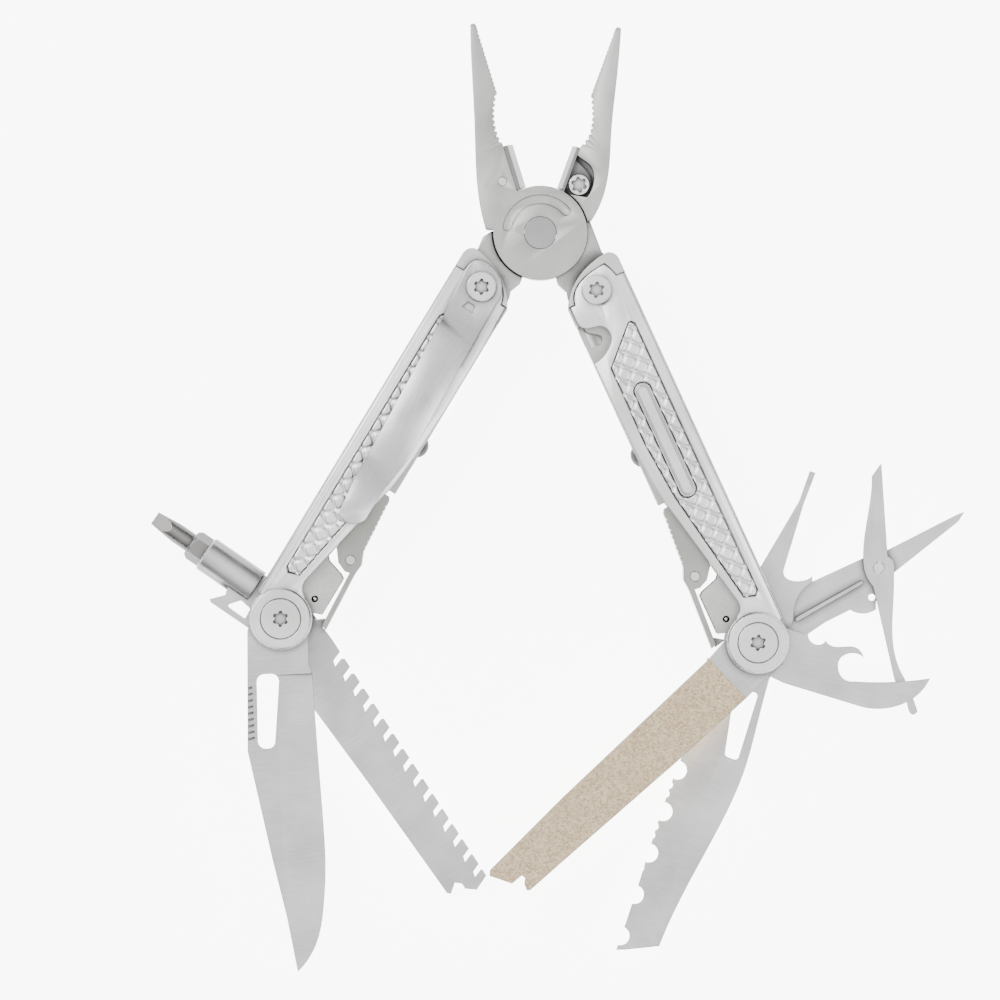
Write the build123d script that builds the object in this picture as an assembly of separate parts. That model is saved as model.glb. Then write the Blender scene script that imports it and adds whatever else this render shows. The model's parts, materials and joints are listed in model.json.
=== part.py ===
from build123d import *
import math
import os

# Folding multi tool, lying flat on its back and fanned open.
#
# Every piece is drawn about a mid-plane at height 0 and lifted at the end, so that the rear screw
# heads rest on height 0.  Three kinds of flat frame are used:
#   jaw frame     pliers pivot at the origin, closed jaws pointing along +Y
#   handle frame  tool axle at the origin, head pivot at (0, HANDLE_SPAN), open mouth towards +X;
#                 the left handle is the mirror image of the right one
#   tool frame    tool axle at the origin, tip towards +Y, +X to the right of the tip
# The finished model has its origin at the bottom centre of its own box, with +Z up.

# ---------------------------------------------------------------- pose of the fanned-open tool
FRONT_JAW_OPEN = 17.1          # degrees, counter-clockwise from straight up
REAR_JAW_OPEN = 20.1           # degrees, clockwise from straight up
LEFT_HANDLE_DIR = 58.8         # direction from tool axle to head pivot
RIGHT_HANDLE_DIR = 114.6
KNIFE_DIR = -86.9              # direction from tool axle to tip, for each tool
SAW_DIR = -56.4
BIT_HOLDER_DIR = 145.3
FILE_DIR = -136.2
SERRATED_DIR = -110.8
CAN_OPENER_DIR = -12.0
FLAT_DRIVER_DIR = 72.0
SCISSORS_DIR = 32.0
SCISSORS_GAPE = 57.0           # angle between the two scissor blades

# Degrees by which a stowed tool leans from the handle's centre line towards the web.
KNIFE_LEAN = 2.0
SAW_LEAN = 2.0
BIT_HOLDER_LEAN = 0.0
FILE_LEAN = 0.0
SERRATED_LEAN = 1.0
CAN_OPENER_LEAN = 8.8
FLAT_DRIVER_LEAN = 5.0
SCISSORS_LEAN = 5.0

SCISSORS_CLOSE = 58.0          # lever travel when the scissors are stowed
SCISSORS_SQUEEZE = 54.0        # lever travel of one cut
BIT_PULL = 13.0                # travel that frees the bit from its socket
LOCK_TRAVEL = 2.5              # lock bar travel when its pad is pressed

# ---------------------------------------------------------------- driving dimensions, millimetres
HANDLE_SPAN = 89.4             # tool axle to head pivot
HEAD_PIVOT_X = 8.4             # head pivots, from the pliers pivot, jaws closed
HEAD_PIVOT_Y = 16.6
JAW_LENGTH = 51.0
JAW_HALF = 4.2                 # half thickness of the pliers head
JAW_TIP_HALF = 1.5             # half thickness at the jaw tips
TAPER_START = 22.0
DISC_R = 10.9
DISC_GAP = 0.04                # each half of the head stands this far off the mid-plane
DISC_CLEAR = 0.3
RIVET_R = 3.7
TANG_R = 6.8

CHANNEL_HALF = 4.5             # half width of the handle channel
LINER_T = 0.9
POCKET = 2.9                   # depth of each outer blade pocket
SCALE_T = 0.95
WASHER_T = 1.0
HEAD_PROUD = 0.15              # tool screws stand this far above their washers
WEB_X = 7.6                    # outer face of the web
WEB_T = 1.1
MOUTH_X = 7.8
LIP_T = 0.9
WEB_START = 38.2               # the web runs from here ...
WEB_END = 84.0                 # ... to here along the handle
END_R = 6.9                    # rounded axle end of the liners
BOLSTER_START = 83.3

AXLE_R = 2.5
HEAD_AXLE_R = 2.3
TOOL_WASHER_R = 7.03
TOOL_SCREW_R = 4.69
HEAD_SCREW_R = 3.46
SCREW_SHANK_R = 1.4
TORX_R = 1.85
TORX_DEPTH = 0.8
BUSH_R = 3.2
SPACER_R = 5.5
TOOL_BASE_R = 6.2

BLADE_BASE_R = 6.7
EDGE_HALF = 0.12               # half thickness left at a ground edge
SAW_PITCH = 4.2
SAW_END = 76.2
HOLDER_NECK_HALF = 2.5
SCISSOR_RIVET = (0.5, 33.2)
SCISSOR_RIVET_R = 2.1
TANG_STEP = 0.8                # a tang's face is this far below the head's face
KNIFE_T = 1.6
SAW_T = 1.3
FILE_T = 1.15
GRIT_T = 0.05
SERRATED_T = 1.45
CAN_OPENER_T = 2.0
CAN_OPENER_GRIND = 1.5  # depth ground from the rear of the belly edge
FLAT_DRIVER_T = 2.0
SCISSOR_T = 1.05
LAYER_GAP = 0.1                # between neighbouring inner tools
SIDE_GAP = 0.05                # between an outer blade and the faces beside it
CAN_OPENER_LOW = 1.15          # underside of the front inner tool

HOLDER_R = 4.22
HOLDER_OFFSET = 2.35           # bit axis, towards the web
HOLDER_END = 23.3
HOLDER_START = 9.0
HEX_AF = 6.35                  # quarter-inch bit, across flats
BIT_FIT = 0.06
BIT_START = 10.0
BIT_END = 37.4

FIT = 0.02                     # radial gap of a fixed fit
RUN = 0.05                     # radial gap of a running fit

LOCK_PIN_X = -6.75
LOCK_PIN_Y = 19.83
LOCK_PIN_R = 1.1
LOCK_EAR_GAP = 0.08
LOCK_ARM_HALF = 5.32
BUMPER_Y = 50.4
BUMPER_R = 2.4
BUMPER_RISE = 1.2
BALL_R = 0.75
BALL_X = -4.32
BALL_Y = 7.89

PANEL_DEPTH = 0.35             # how far the grip panel is sunk into the scale
BADGE_R = 1.9
BADGE_LOW = 37.2
BADGE_HIGH = 65.6
RIM_GAP = 0.15                 # between the scale and the bolster's rim
RIM_DROP = 0.15                # the rim stands this far below the scale's face
LIP_START = 3.0
LIP_ROUND = 0.85
SCALE_END_R = 7.3
LUG_LOW = 3.5                  # underside of the lock pin lugs
CLIP_T = 0.8
CLIP_RISE = 1.9                # gap between the clip's arm and the scale

# ---------------------------------------------------------------- heights derived from the stack
LINER_TOP = CHANNEL_HALF + LINER_T
POCKET_TOP = LINER_TOP + POCKET
SCALE_TOP = POCKET_TOP + SCALE_T
WASHER_TOP = SCALE_TOP + WASHER_T
HALF_THICK = WASHER_TOP + HEAD_PROUD
LEFT_BLADE_LOW = LINER_TOP + SIDE_GAP      # left blades lie against their liner
RIGHT_BLADE_HIGH = POCKET_TOP - SIDE_GAP   # right blades lie against their scale
FLAT_DRIVER_LOW = CAN_OPENER_LOW - LAYER_GAP - FLAT_DRIVER_T
SCISSOR_LEVER_LOW = FLAT_DRIVER_LOW - LAYER_GAP - SCISSOR_T
SCISSOR_FIXED_LOW = SCISSOR_LEVER_LOW - LAYER_GAP - SCISSOR_T

nodes = {}


# ---------------------------------------------------------------- helpers
def disc(radius, low, high, x=0.0, y=0.0):
    """Upright cylinder between two heights."""
    return Pos(x, y, (low + high) / 2) * Cylinder(radius, high - low)


def plate(outline, low, high):
    """Flat plate of the given outline between two heights."""
    return extrude(Pos(0, 0, low) * outline, amount=high - low, dir=(0, 0, 1))


def polygon(*points):
    """Flat face inside straight edges."""
    return Polygon(*points, align=None)


def curved(start, *runs):
    """Flat face whose edge follows runs: a single point is a line, a list of points is a curve."""
    edges = []
    for run in runs:
        if isinstance(run, list):
            edges.append(Spline(start, *run))
            start = run[-1]
        else:
            edges.append(Line(start, run))
            start = run
    return make_face(edges)


def both_faces(shape):
    """A shape and its mirror image below the mid-plane."""
    return shape + mirror(shape, about=Plane.XY)


def polar(radius, degrees):
    """Point at a distance and direction from the origin."""
    return (radius * math.cos(math.radians(degrees)), radius * math.sin(math.radians(degrees)))


def turned(point, degrees):
    """A flat point turned about the origin."""
    c = math.cos(math.radians(degrees))
    s = math.sin(math.radians(degrees))
    return (point[0] * c - point[1] * s, point[0] * s + point[1] * c)


def torx(radius, low, high):
    """Six-lobed driver recess."""
    lobes = Circle(radius * 0.72)
    for k in range(6):
        x, y = polar(radius * 0.78, 60 * k)
        lobes += Pos(x, y) * Circle(radius * 0.22)
    return plate(lobes, low, high)


def countersunk_screw(head_r, head_low, head_high, shank_low):
    """Low-headed screw with a six-lobed recess, pointing down."""
    head = disc(head_r, head_low, head_high)
    head = chamfer(head.edges().group_by(Axis.Z)[-1], 0.2)
    shank = disc(SCREW_SHANK_R, shank_low, head_low)
    return head + shank - torx(TORX_R, head_high - TORX_DEPTH, head_high)


# ---------------------------------------------------------------- where things are, on the plane
left_head = turned((-HEAD_PIVOT_X, -HEAD_PIVOT_Y), -REAR_JAW_OPEN)
right_head = turned((HEAD_PIVOT_X, -HEAD_PIVOT_Y), FRONT_JAW_OPEN)
left_span = polar(HANDLE_SPAN, LEFT_HANDLE_DIR)
right_span = polar(HANDLE_SPAN, RIGHT_HANDLE_DIR)
left_axle = (left_head[0] - left_span[0], left_head[1] - left_span[1])
right_axle = (right_head[0] - right_span[0], right_head[1] - right_span[1])


def in_left(shape):
    """Place a handle-frame shape on the left handle."""
    return Pos(*left_axle) * Rot(0, 0, LEFT_HANDLE_DIR - 90) * mirror(shape, about=Plane.YZ)


def in_right(shape):
    """Place a handle-frame shape on the right handle."""
    return Pos(*right_axle) * Rot(0, 0, RIGHT_HANDLE_DIR - 90) * shape


def tool_at(shape, axle, direction):
    """Place a tool-frame shape on its axle."""
    return Pos(*axle) * Rot(0, 0, direction - 90) * shape


# ---------------------------------------------------------------- pliers head
TOOTH_PITCH = 1.05
TOOTH_DEPTH = 0.35
GRIP_TEETH = 9
GRIP_TOOTH_R = 0.45
BAND_OUTER = 8.8               # blank band around the head's face
BAND_INNER = 6.7
BAND_START = 23.0
BAND_END = 152.0
BAND_DEPTH = 0.2
CUTTER_TOP = 21.6
CUTTER_BOTTOM = 8.0
CUTTER_TAB = 6.6               # reach of the pinned tab into the front jaw
CUTTER_TAB_HALF = 0.8
CUTTER_FLOOR = 1.2             # height of the floor of the screwed insert's pocket
CUTTER_FOOT_T = 1.4
CUTTER_EDGE = 0.05
FRONT_CUTTER_BACK = 2.3
REAR_CUTTER_BACK = 1.9
CUTTER_SCREW = (-4.6, 13.5)
CUTTER_SCREW_R = 2.5
CUTTER_PIN = (-4.9, 13.9)
CUTTER_PIN_R = 1.0
FINE_START = 34.0
GRIP_BOTTOM = 22.0
GRIP_CURVE = ((-2.7, 24.5), (-2.3, 28.5), (-CUTTER_EDGE, FINE_START))


def jaw_arm(root, cutter_back):
    """Left-hand jaw arm in the jaw frame, without the head's disc."""
    outline = curved(
        (-1.3, JAW_LENGTH),
        [(-4.3, 40.0), (-7.3, 28.0), (-10.6, 15.5), root],
        (root[0] / 2, root[1] / 2),
        (-cutter_back, 9.0),
        (-cutter_back, GRIP_BOTTOM),
        list(GRIP_CURVE),
        (-CUTTER_EDGE, JAW_LENGTH - 0.6),
        (-0.4, JAW_LENGTH),
        (-1.3, JAW_LENGTH),
    )
    arm = plate(outline, -JAW_HALF, JAW_HALF)
    side = polygon(
        (-5.0, -JAW_HALF),
        (TAPER_START, -JAW_HALF),
        (JAW_LENGTH, -JAW_TIP_HALF),
        (JAW_LENGTH, JAW_TIP_HALF),
        (TAPER_START, JAW_HALF),
        (-5.0, JAW_HALF),
    )
    arm &= extrude(Plane.YZ * side, amount=20, both=True)
    return arm - jaw_teeth(cutter_back)


def jaw_teeth(cutter_back):
    """Fine grooves near the tip and coarse ones in the curved grip."""
    grooves = []
    for k in range(int((JAW_LENGTH - 1.5 - FINE_START) / TOOTH_PITCH)):
        y = FINE_START + 0.8 + k * TOOTH_PITCH
        groove = polygon((0.2, y - 0.45), (-CUTTER_EDGE - TOOTH_DEPTH, y), (0.2, y + 0.45))
        grooves.append(plate(groove, -JAW_HALF, JAW_HALF))
    grip = Spline((-cutter_back, GRIP_BOTTOM), *GRIP_CURVE)
    for k in range(GRIP_TEETH):
        root = grip @ ((k + 0.9) / (GRIP_TEETH + 0.6))
        grooves.append(disc(GRIP_TOOTH_R, -JAW_HALF, JAW_HALF, root.X, root.Y))
    return grooves


def tang(top, low, high):
    """Left-hand tang that carries a handle, in the jaw frame."""
    outline = polygon(
        (-8.0, 0.0),
        top,
        (-12.3, -8.3),
        (-HEAD_PIVOT_X - TANG_R + 0.2, -HEAD_PIVOT_Y + 1.6),
        (-HEAD_PIVOT_X + TANG_R - 0.2, -HEAD_PIVOT_Y + 1.6),
        (-0.4, -12.6),
        (-0.4, -5.0),
    )
    outline += Pos(-HEAD_PIVOT_X, -HEAD_PIVOT_Y) * Circle(TANG_R)
    return plate(outline, low, high)


def arc_band():
    """Blank sunk band around the upper half of the head's face, with round ends."""
    middle = (BAND_OUTER + BAND_INNER) / 2
    half = (BAND_OUTER - BAND_INNER) / 2
    band = ring(BAND_OUTER, BAND_INNER, JAW_HALF - BAND_DEPTH, 9)
    start, end = polar(30, BAND_START), polar(30, BAND_END)
    band &= plate(polygon((0, 0), start, (30, 30), (-30, 30), end), 0, 9)
    for angle in (BAND_START, BAND_END):
        band += disc(half, JAW_HALF - BAND_DEPTH, 9, *polar(middle, angle))
    return band


def jaw(root, tang_top, cutter_back, tang_low, tang_high):
    """One half of the pliers: left arm, front disc and right tang, as one forging."""
    other_half = disc(DISC_R + DISC_CLEAR, -JAW_HALF - 1, DISC_GAP)
    carrier = mirror(tang(tang_top, tang_low, tang_high), about=Plane.YZ)
    body = jaw_arm(root, cutter_back) + carrier - other_half
    body += disc(DISC_R, DISC_GAP, JAW_HALF)
    body -= arc_band()
    body -= disc(RIVET_R + RUN, -9, 9)
    body -= disc(HEAD_AXLE_R + RUN, -9, 9, HEAD_PIVOT_X, -HEAD_PIVOT_Y)
    return body


def cutter_bar(back):
    """Wedge-edged bar of a wire cutter, on the left, resting against its jaw."""
    section = polygon(
        (-back + FIT, -JAW_HALF),
        (-back * 0.6, -JAW_HALF),
        (-CUTTER_EDGE, -0.3),
        (-CUTTER_EDGE, 0.3),
        (-back * 0.6, JAW_HALF),
        (-back + FIT, JAW_HALF),
    )
    face = Plane(origin=(0, CUTTER_BOTTOM, 0), x_dir=(1, 0, 0), z_dir=(0, -1, 0)) * section
    bar = extrude(face, amount=CUTTER_TOP - CUTTER_BOTTOM, dir=(0, 1, 0))
    return bar - disc(DISC_R + DISC_CLEAR, -9, 9)


def build_front_jaw():
    """Front jaw, its pinned cutter insert and the pin."""
    body = jaw((-11.8, 4.5), (-11.8, -1.0), FRONT_CUTTER_BACK, -JAW_HALF, JAW_HALF - TANG_STEP)
    tab = plate(polygon(
        (-FRONT_CUTTER_BACK + 1, 12.0),
        (-FRONT_CUTTER_BACK + 1, 16.8),
        (-CUTTER_TAB, 16.0),
        (-CUTTER_TAB, 12.0),
    ), -CUTTER_TAB_HALF, CUTTER_TAB_HALF)
    body -= plate(polygon(
        (-FRONT_CUTTER_BACK + 1, 12.0 - FIT),
        (-FRONT_CUTTER_BACK + 1, 16.8 + FIT),
        (-CUTTER_TAB - FIT, 16.0 + FIT),
        (-CUTTER_TAB - FIT, 12.0 - FIT),
    ), -CUTTER_TAB_HALF - FIT, CUTTER_TAB_HALF + FIT)
    body -= disc(CUTTER_PIN_R + FIT, -9, 9, *CUTTER_PIN)
    insert = cutter_bar(FRONT_CUTTER_BACK) + tab - disc(CUTTER_PIN_R + FIT, -9, 9, *CUTTER_PIN)
    pin = disc(CUTTER_PIN_R, -JAW_HALF, JAW_HALF, *CUTTER_PIN)
    nodes["front_jaw"] = Rot(0, 0, FRONT_JAW_OPEN) * body
    nodes["front_cutter_insert"] = Rot(0, 0, FRONT_JAW_OPEN) * insert
    nodes["cutter_pin"] = Rot(0, 0, FRONT_JAW_OPEN) * pin


def build_rear_jaw():
    """Rear jaw, its screwed cutter insert and the screw."""
    body = jaw((-10.1, 6.75), (-12.2, -5.4), REAR_CUTTER_BACK, -JAW_HALF + TANG_STEP, JAW_HALF)
    body = Rot(0, 180, 0) * body
    pocket = curved(
        (REAR_CUTTER_BACK - 1, 20.2),
        [(3.0, 19.4), (5.8, 18.4), (7.6, 15.1), (7.3, 11.4)],
        (0.0, 10.0),
        (REAR_CUTTER_BACK - 1, 20.2),
    )
    body -= plate(pocket, CUTTER_FLOOR, 9)
    foot = curved(
        (REAR_CUTTER_BACK - 0.5, 19.0),
        [(3.6, 17.9), (6.5, 16.0), (7.15, 13.5)],
        (6.6, 11.9),
        (REAR_CUTTER_BACK - 0.5, 11.9),
        (REAR_CUTTER_BACK - 0.5, 19.0),
    )
    insert = mirror(cutter_bar(REAR_CUTTER_BACK), about=Plane.YZ)
    insert += plate(foot, CUTTER_FLOOR, CUTTER_FLOOR + CUTTER_FOOT_T)
    insert -= disc(DISC_R + DISC_CLEAR, -9, 9)
    screw_x, screw_y = -CUTTER_SCREW[0], CUTTER_SCREW[1]
    insert -= disc(SCREW_SHANK_R + FIT, -9, 9, screw_x, screw_y)
    body -= disc(SCREW_SHANK_R + FIT, -CUTTER_FLOOR, 9, screw_x, screw_y)
    screw = countersunk_screw(CUTTER_SCREW_R, CUTTER_FLOOR + CUTTER_FOOT_T, JAW_HALF - 0.1, -0.5)
    nodes["rear_jaw"] = Rot(0, 0, -REAR_JAW_OPEN) * body
    nodes["rear_cutter_insert"] = Rot(0, 0, -REAR_JAW_OPEN) * insert
    nodes["cutter_screw"] = Rot(0, 0, -REAR_JAW_OPEN) * Pos(screw_x, screw_y, 0) * screw


# ---------------------------------------------------------------- handles
def cap_outline():
    """Rounded head end of the liners and bolsters."""
    return curved(
        (-WEB_X, BOLSTER_START),
        (-WEB_X, 88.3),
        [(-5.4, 91.5), (-0.1, 95.0), (5.75, 96.3)],
        [(7.1, 95.5), (MOUTH_X - 0.05, 93.2)],
        (MOUTH_X, BOLSTER_START),
        (-WEB_X, BOLSTER_START),
    )


def scale_outline():
    """Outer cover of a handle, cut away diagonally where the blades are gripped."""
    outline = curved(
        (MOUTH_X, LIP_START),
        (MOUTH_X, 90.5),
        (5.5, 90.5),
        [(5.0, 92.2), (4.0, 94.1)],
        [(-0.9, 93.2), (-4.4, 91.2), (-5.9, 88.1)],
        (-7.1, 88.1),
        [(-7.3, 80.0), (-7.4, 58.0), (-6.3, 40.0)],
        (-0.3, 11.0),
        [(-0.4, 9.0), (-2.2, 7.2)],
        (0.0, 0.0),
        (MOUTH_X, LIP_START),
    )
    return outline + Circle(SCALE_END_R)


def liner_outline():
    """Inner wall of the channel, with the lock bar's opening in its web side."""
    outline = polygon(
        (MOUTH_X, 1.5),
        (MOUTH_X, BOLSTER_START + 1),
        (-WEB_X, BOLSTER_START + 1),
        (-WEB_X, WEB_START),
        (-4.2, WEB_START),
        (-1.2, 26.0),
        (-0.9, 19.0),
        (-2.6, 17.1),
        (-6.6, 15.9),
        (-WEB_X, 15.2),
        (-WEB_X, 5.6),
        (-5.6, 4.9),
        (0.0, 0.0),
    )
    return outline + cap_outline() + Circle(END_R)


def grip_panel():
    """Sunk grip panel of a scale, around the raised oblong badge."""
    panel = polygon(
        (4.2, 79.7),
        (5.0, 78.8),
        (5.1, 11.0),
        (4.1, 9.9),
        (1.3, 10.8),
        (-3.6, 38.5),
        (-4.75, 52.4),
        (-4.6, 71.6),
        (3.4, 79.6),
    )
    return fillet(panel.vertices(), 0.4)


def badge():
    """Blank raised oblong in the middle of the grip panel."""
    middle = polygon(
        (-BADGE_R, BADGE_LOW + BADGE_R),
        (BADGE_R, BADGE_LOW + BADGE_R),
        (BADGE_R, BADGE_HIGH - BADGE_R),
        (-BADGE_R, BADGE_HIGH - BADGE_R),
    )
    ends = [Pos(0, y) * Circle(BADGE_R) for y in (BADGE_LOW + BADGE_R, BADGE_HIGH - BADGE_R)]
    return middle + ends


def hook_notch():
    """Wire-stripping notch in the scale, near the head."""
    return curved(
        (-9.0, 85.4),
        (-7.2, 85.0),
        [(-4.9, 82.0), (-2.2, 81.2), (-1.3, 78.6), (-3.3, 75.7), (-7.2, 74.2)],
        (-9.0, 74.2),
        (-9.0, 85.4),
    )


def frame_body(notched):
    """U-shaped handle frame: two liners joined by the web, with lugs for the lock pins."""
    liner = plate(liner_outline(), CHANNEL_HALF, LINER_TOP)
    if notched:
        hook = curved(
            (-9.0, 83.4),
            (-6.2, 82.8),
            [(-4.9, 80.6), (-3.4, 79.4), (-4.2, 77.7)],
            (-6.4, 77.8),
            (-9.0, 77.8),
            (-9.0, 83.4),
        )
        liner -= plate(hook, 0, 9)
    lug = plate(polygon(
        (-7.9, 18.3),
        (-5.2, 18.3),
        (-5.0, 23.6),
        (-2.8, 27.0),
        (-2.8, WEB_START + 3),
        (-5.2, WEB_START + 3),
        (-5.4, 27.0),
        (-7.8, 20.6),
    ), LUG_LOW, CHANNEL_HALF)
    wall = liner + lug
    wall -= disc(LOCK_PIN_R + FIT, 0, 9, LOCK_PIN_X, LOCK_PIN_Y)
    wall -= disc(BALL_R + FIT, 0, 9, BALL_X, BALL_Y)
    wall -= disc(AXLE_R + FIT, 0, 9)
    wall -= disc(HEAD_AXLE_R + FIT, 0, 9, 0, HANDLE_SPAN)
    web = plate(polygon(
        (-WEB_X, WEB_START),
        (-WEB_X + WEB_T, WEB_START),
        (-WEB_X + WEB_T, WEB_END),
        (-WEB_X, WEB_END),
    ), -LINER_TOP, LINER_TOP)
    if notched:
        web -= plate(polygon((-9, 78.6), (-5, 78.6), (-5, 82.2), (-9, 82.2)), -2.6, 2.6)
    body = both_faces(wall) + web
    bumper_hole = Pos(-WEB_X, BUMPER_Y, 0) * Rot(0, 90, 0) * Cylinder(BUMPER_R / 2 + FIT, 4)
    return body - bumper_hole


def scale_body(notched, badged):
    """Outer cover with a rounded lip that closes the mouth side of the blade pocket."""
    cover = plate(scale_outline(), POCKET_TOP, SCALE_TOP)
    lip = plate(polygon(
        (MOUTH_X - LIP_T, LIP_START),
        (MOUTH_X, LIP_START),
        (MOUTH_X, BOLSTER_START - 0.2),
        (MOUTH_X - LIP_T, BOLSTER_START - 0.2),
    ), LINER_TOP, POCKET_TOP)
    cover += lip
    edge = cover.edges().filter_by(Axis.Y).filter_by_position(Axis.Z, SCALE_TOP - 0.01, SCALE_TOP + 0.01)
    cover = fillet(edge.sort_by(Axis.X)[-1:], LIP_ROUND)
    sunk = plate(grip_panel(), SCALE_TOP - PANEL_DEPTH, 20)
    if badged:
        sunk -= plate(badge(), 0, 30)
    cover -= sunk
    if notched:
        cover -= plate(hook_notch(), 0, 20)
    cover -= disc(SCREW_SHANK_R + FIT, 0, 20)
    return cover - disc(SCREW_SHANK_R + FIT, 0, 20, 0, HANDLE_SPAN)


def bolster_body():
    """Head-end filler of a blade pocket, with a raised rim around the scale."""
    body = plate(cap_outline(), LINER_TOP, POCKET_TOP)
    rim = cap_outline() & polygon((-20, 88.4), (20, 88.4), (20, 120), (-20, 120))
    inner = curved(
        (-20, 70),
        (-20, 88.1 + RIM_GAP),
        (-5.95 - RIM_GAP, 88.1 + RIM_GAP),
        [(-4.4 - RIM_GAP, 91.3 + RIM_GAP), (-0.9, 93.25 + RIM_GAP), (4.05 + RIM_GAP, 94.15 + RIM_GAP)],
        [(5.0 + RIM_GAP, 92.3), (5.5 + RIM_GAP, 90.5 + RIM_GAP)],
        (20, 90.5 + RIM_GAP),
        (20, 70),
        (-20, 70),
    )
    rim -= inner
    body += plate(rim, POCKET_TOP, SCALE_TOP - RIM_DROP)
    return body - disc(HEAD_AXLE_R + FIT, 0, 20, 0, HANDLE_SPAN)


def lock_bar_body():
    """Rocking lock bar: knurled pad and arm along the web side, two ears beside the liners."""
    strip = plate(polygon(
        (-6.7, 37.0),
        (-7.3, 36.2),
        (-8.3, 23.0),
        (-9.5, 20.2),
        (-9.3, 17.5),
        (-10.2, 3.0),
        (-8.9, 3.6),
        (-8.05, 17.0),
        (-8.25, 20.0),
        (-7.2, 24.0),
        (-6.5, 36.4),
    ), -LOCK_ARM_HALF, LOCK_ARM_HALF)
    ear_outline = polygon(
        (-6.5, 37.0),
        (-4.7, 36.9),
        (-2.4, 26.0),
        (-2.5, 20.6),
        (-4.6, 17.9),
        (-6.9, 16.9),
        (-9.2, 17.4),
        (-9.5, 20.2),
        (-8.3, 23.0),
    )
    ear = plate(ear_outline, CHANNEL_HALF + LOCK_EAR_GAP, LOCK_ARM_HALF)
    nib = plate(polygon((-9.3, 2.9), (-9.1, 5.4), (-6.45, 3.5)), -LUG_LOW, LUG_LOW)
    bar = strip + both_faces(ear) + nib
    return bar - disc(LOCK_PIN_R + RUN, -9, 9, LOCK_PIN_X, LOCK_PIN_Y)


def knurl_pad(bar):
    """Cross grooves on the lock bar's pad."""
    grooves = []
    for k in range(9):
        y = 24.2 + 1.3 * k
        x = -8.3 + (y - 23.0) / 12
        groove = polygon((x - 0.6, y - 0.45), (x + 0.32, y), (x - 0.6, y + 0.45))
        grooves.append(plate(groove, -9, 9))
    return bar - grooves


def bumper_body():
    """Domed rubber bumper with a stem through the web."""
    ball_r = (BUMPER_R ** 2 + BUMPER_RISE ** 2) / (2 * BUMPER_RISE)
    dome = Pos(ball_r - BUMPER_RISE, 0, 0) * Sphere(ball_r)
    dome &= Pos(-5, 0, 0) * Box(10, 20, 20)
    stem = Pos(WEB_T / 2, 0, 0) * Rot(0, 90, 0) * Cylinder(BUMPER_R / 2, WEB_T)
    return Pos(-WEB_X, BUMPER_Y, 0) * (dome + stem)


def ring(outer, inner, low, high, x=0.0, y=0.0):
    """Flat ring."""
    return disc(outer, low, high, x, y) - disc(inner, low - 1, high + 1, x, y)


def tool_washer():
    """Large dished washer at the tool axle."""
    body = disc(TOOL_WASHER_R, SCALE_TOP, WASHER_TOP)
    body = chamfer(body.edges().group_by(Axis.Z)[-1], 0.35)
    body -= disc(TOOL_SCREW_R + SIDE_GAP, WASHER_TOP - WASHER_T * 0.7, 20)
    return body - disc(SCREW_SHANK_R + FIT, 0, 20)


def build_handle(side, place, blade_low, blade_high, channel_spacers, notched, clipped):
    """All the pieces fixed to one handle.

    blade_low and blade_high hold, for the front and then the rear pocket, the faces of the blade.
    """
    cover = scale_body(notched, not clipped)
    plain_cover = scale_body(False, not clipped)
    cap = bolster_body()
    fixed = {
        "frame": frame_body(notched),
        "front_scale": cover,
        "rear_scale": mirror(plain_cover, about=Plane.XY),
        "bolsters": both_faces(cap),
        "lock_bar": knurl_pad(lock_bar_body()),
        "lock_pins": both_faces(disc(LOCK_PIN_R, LUG_LOW, LINER_TOP, LOCK_PIN_X, LOCK_PIN_Y)),
        "bumper": bumper_body(),
    }
    ball = Pos(BALL_X, BALL_Y, LEFT_BLADE_LOW - BALL_R - 0.02) * Sphere(BALL_R)
    fixed["detent_balls"] = both_faces(ball)
    threads = both_faces(disc(SCREW_SHANK_R + FIT, 2.9, 20))
    fixed["tool_axle"] = disc(AXLE_R, -POCKET_TOP, POCKET_TOP) - threads
    fixed["head_axle"] = Pos(0, HANDLE_SPAN, 0) * (disc(HEAD_AXLE_R, -POCKET_TOP, POCKET_TOP) - threads)
    fixed["tool_washers"] = both_faces(tool_washer())
    screw = countersunk_screw(TOOL_SCREW_R, WASHER_TOP - WASHER_T * 0.7, HALF_THICK, 3.0)
    fixed["tool_screws"] = both_faces(screw)
    lift = CLIP_T if clipped else 0.0
    head_screw = countersunk_screw(HEAD_SCREW_R, SCALE_TOP + lift, HALF_THICK + lift * 0.6, 3.0)
    rear_screw = countersunk_screw(HEAD_SCREW_R, SCALE_TOP, HALF_THICK, 3.0)
    head_screws = head_screw + mirror(rear_screw, about=Plane.XY)
    fixed["head_screws"] = Pos(0, HANDLE_SPAN, 0) * head_screws
    spacers = []
    for face, low, high in ((1, blade_low[0], blade_high[0]), (-1, blade_low[1], blade_high[1])):
        for start, end in ((LINER_TOP, low - SIDE_GAP), (high + SIDE_GAP, POCKET_TOP)):
            if end - start > 2 * SIDE_GAP:
                spacer = ring(SPACER_R, AXLE_R + FIT, start, end)
                spacers.append(spacer if face > 0 else mirror(spacer, about=Plane.XY))
    for low, high, outer in channel_spacers:
        spacers.append(ring(outer, AXLE_R + FIT, low, high))
    fixed["axle_spacers"] = Part() + spacers
    if clipped:
        nodes["pocket_clip"] = place(clip_body())
    for name, shape in fixed.items():
        nodes[side + "_" + name] = place(shape)


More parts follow.
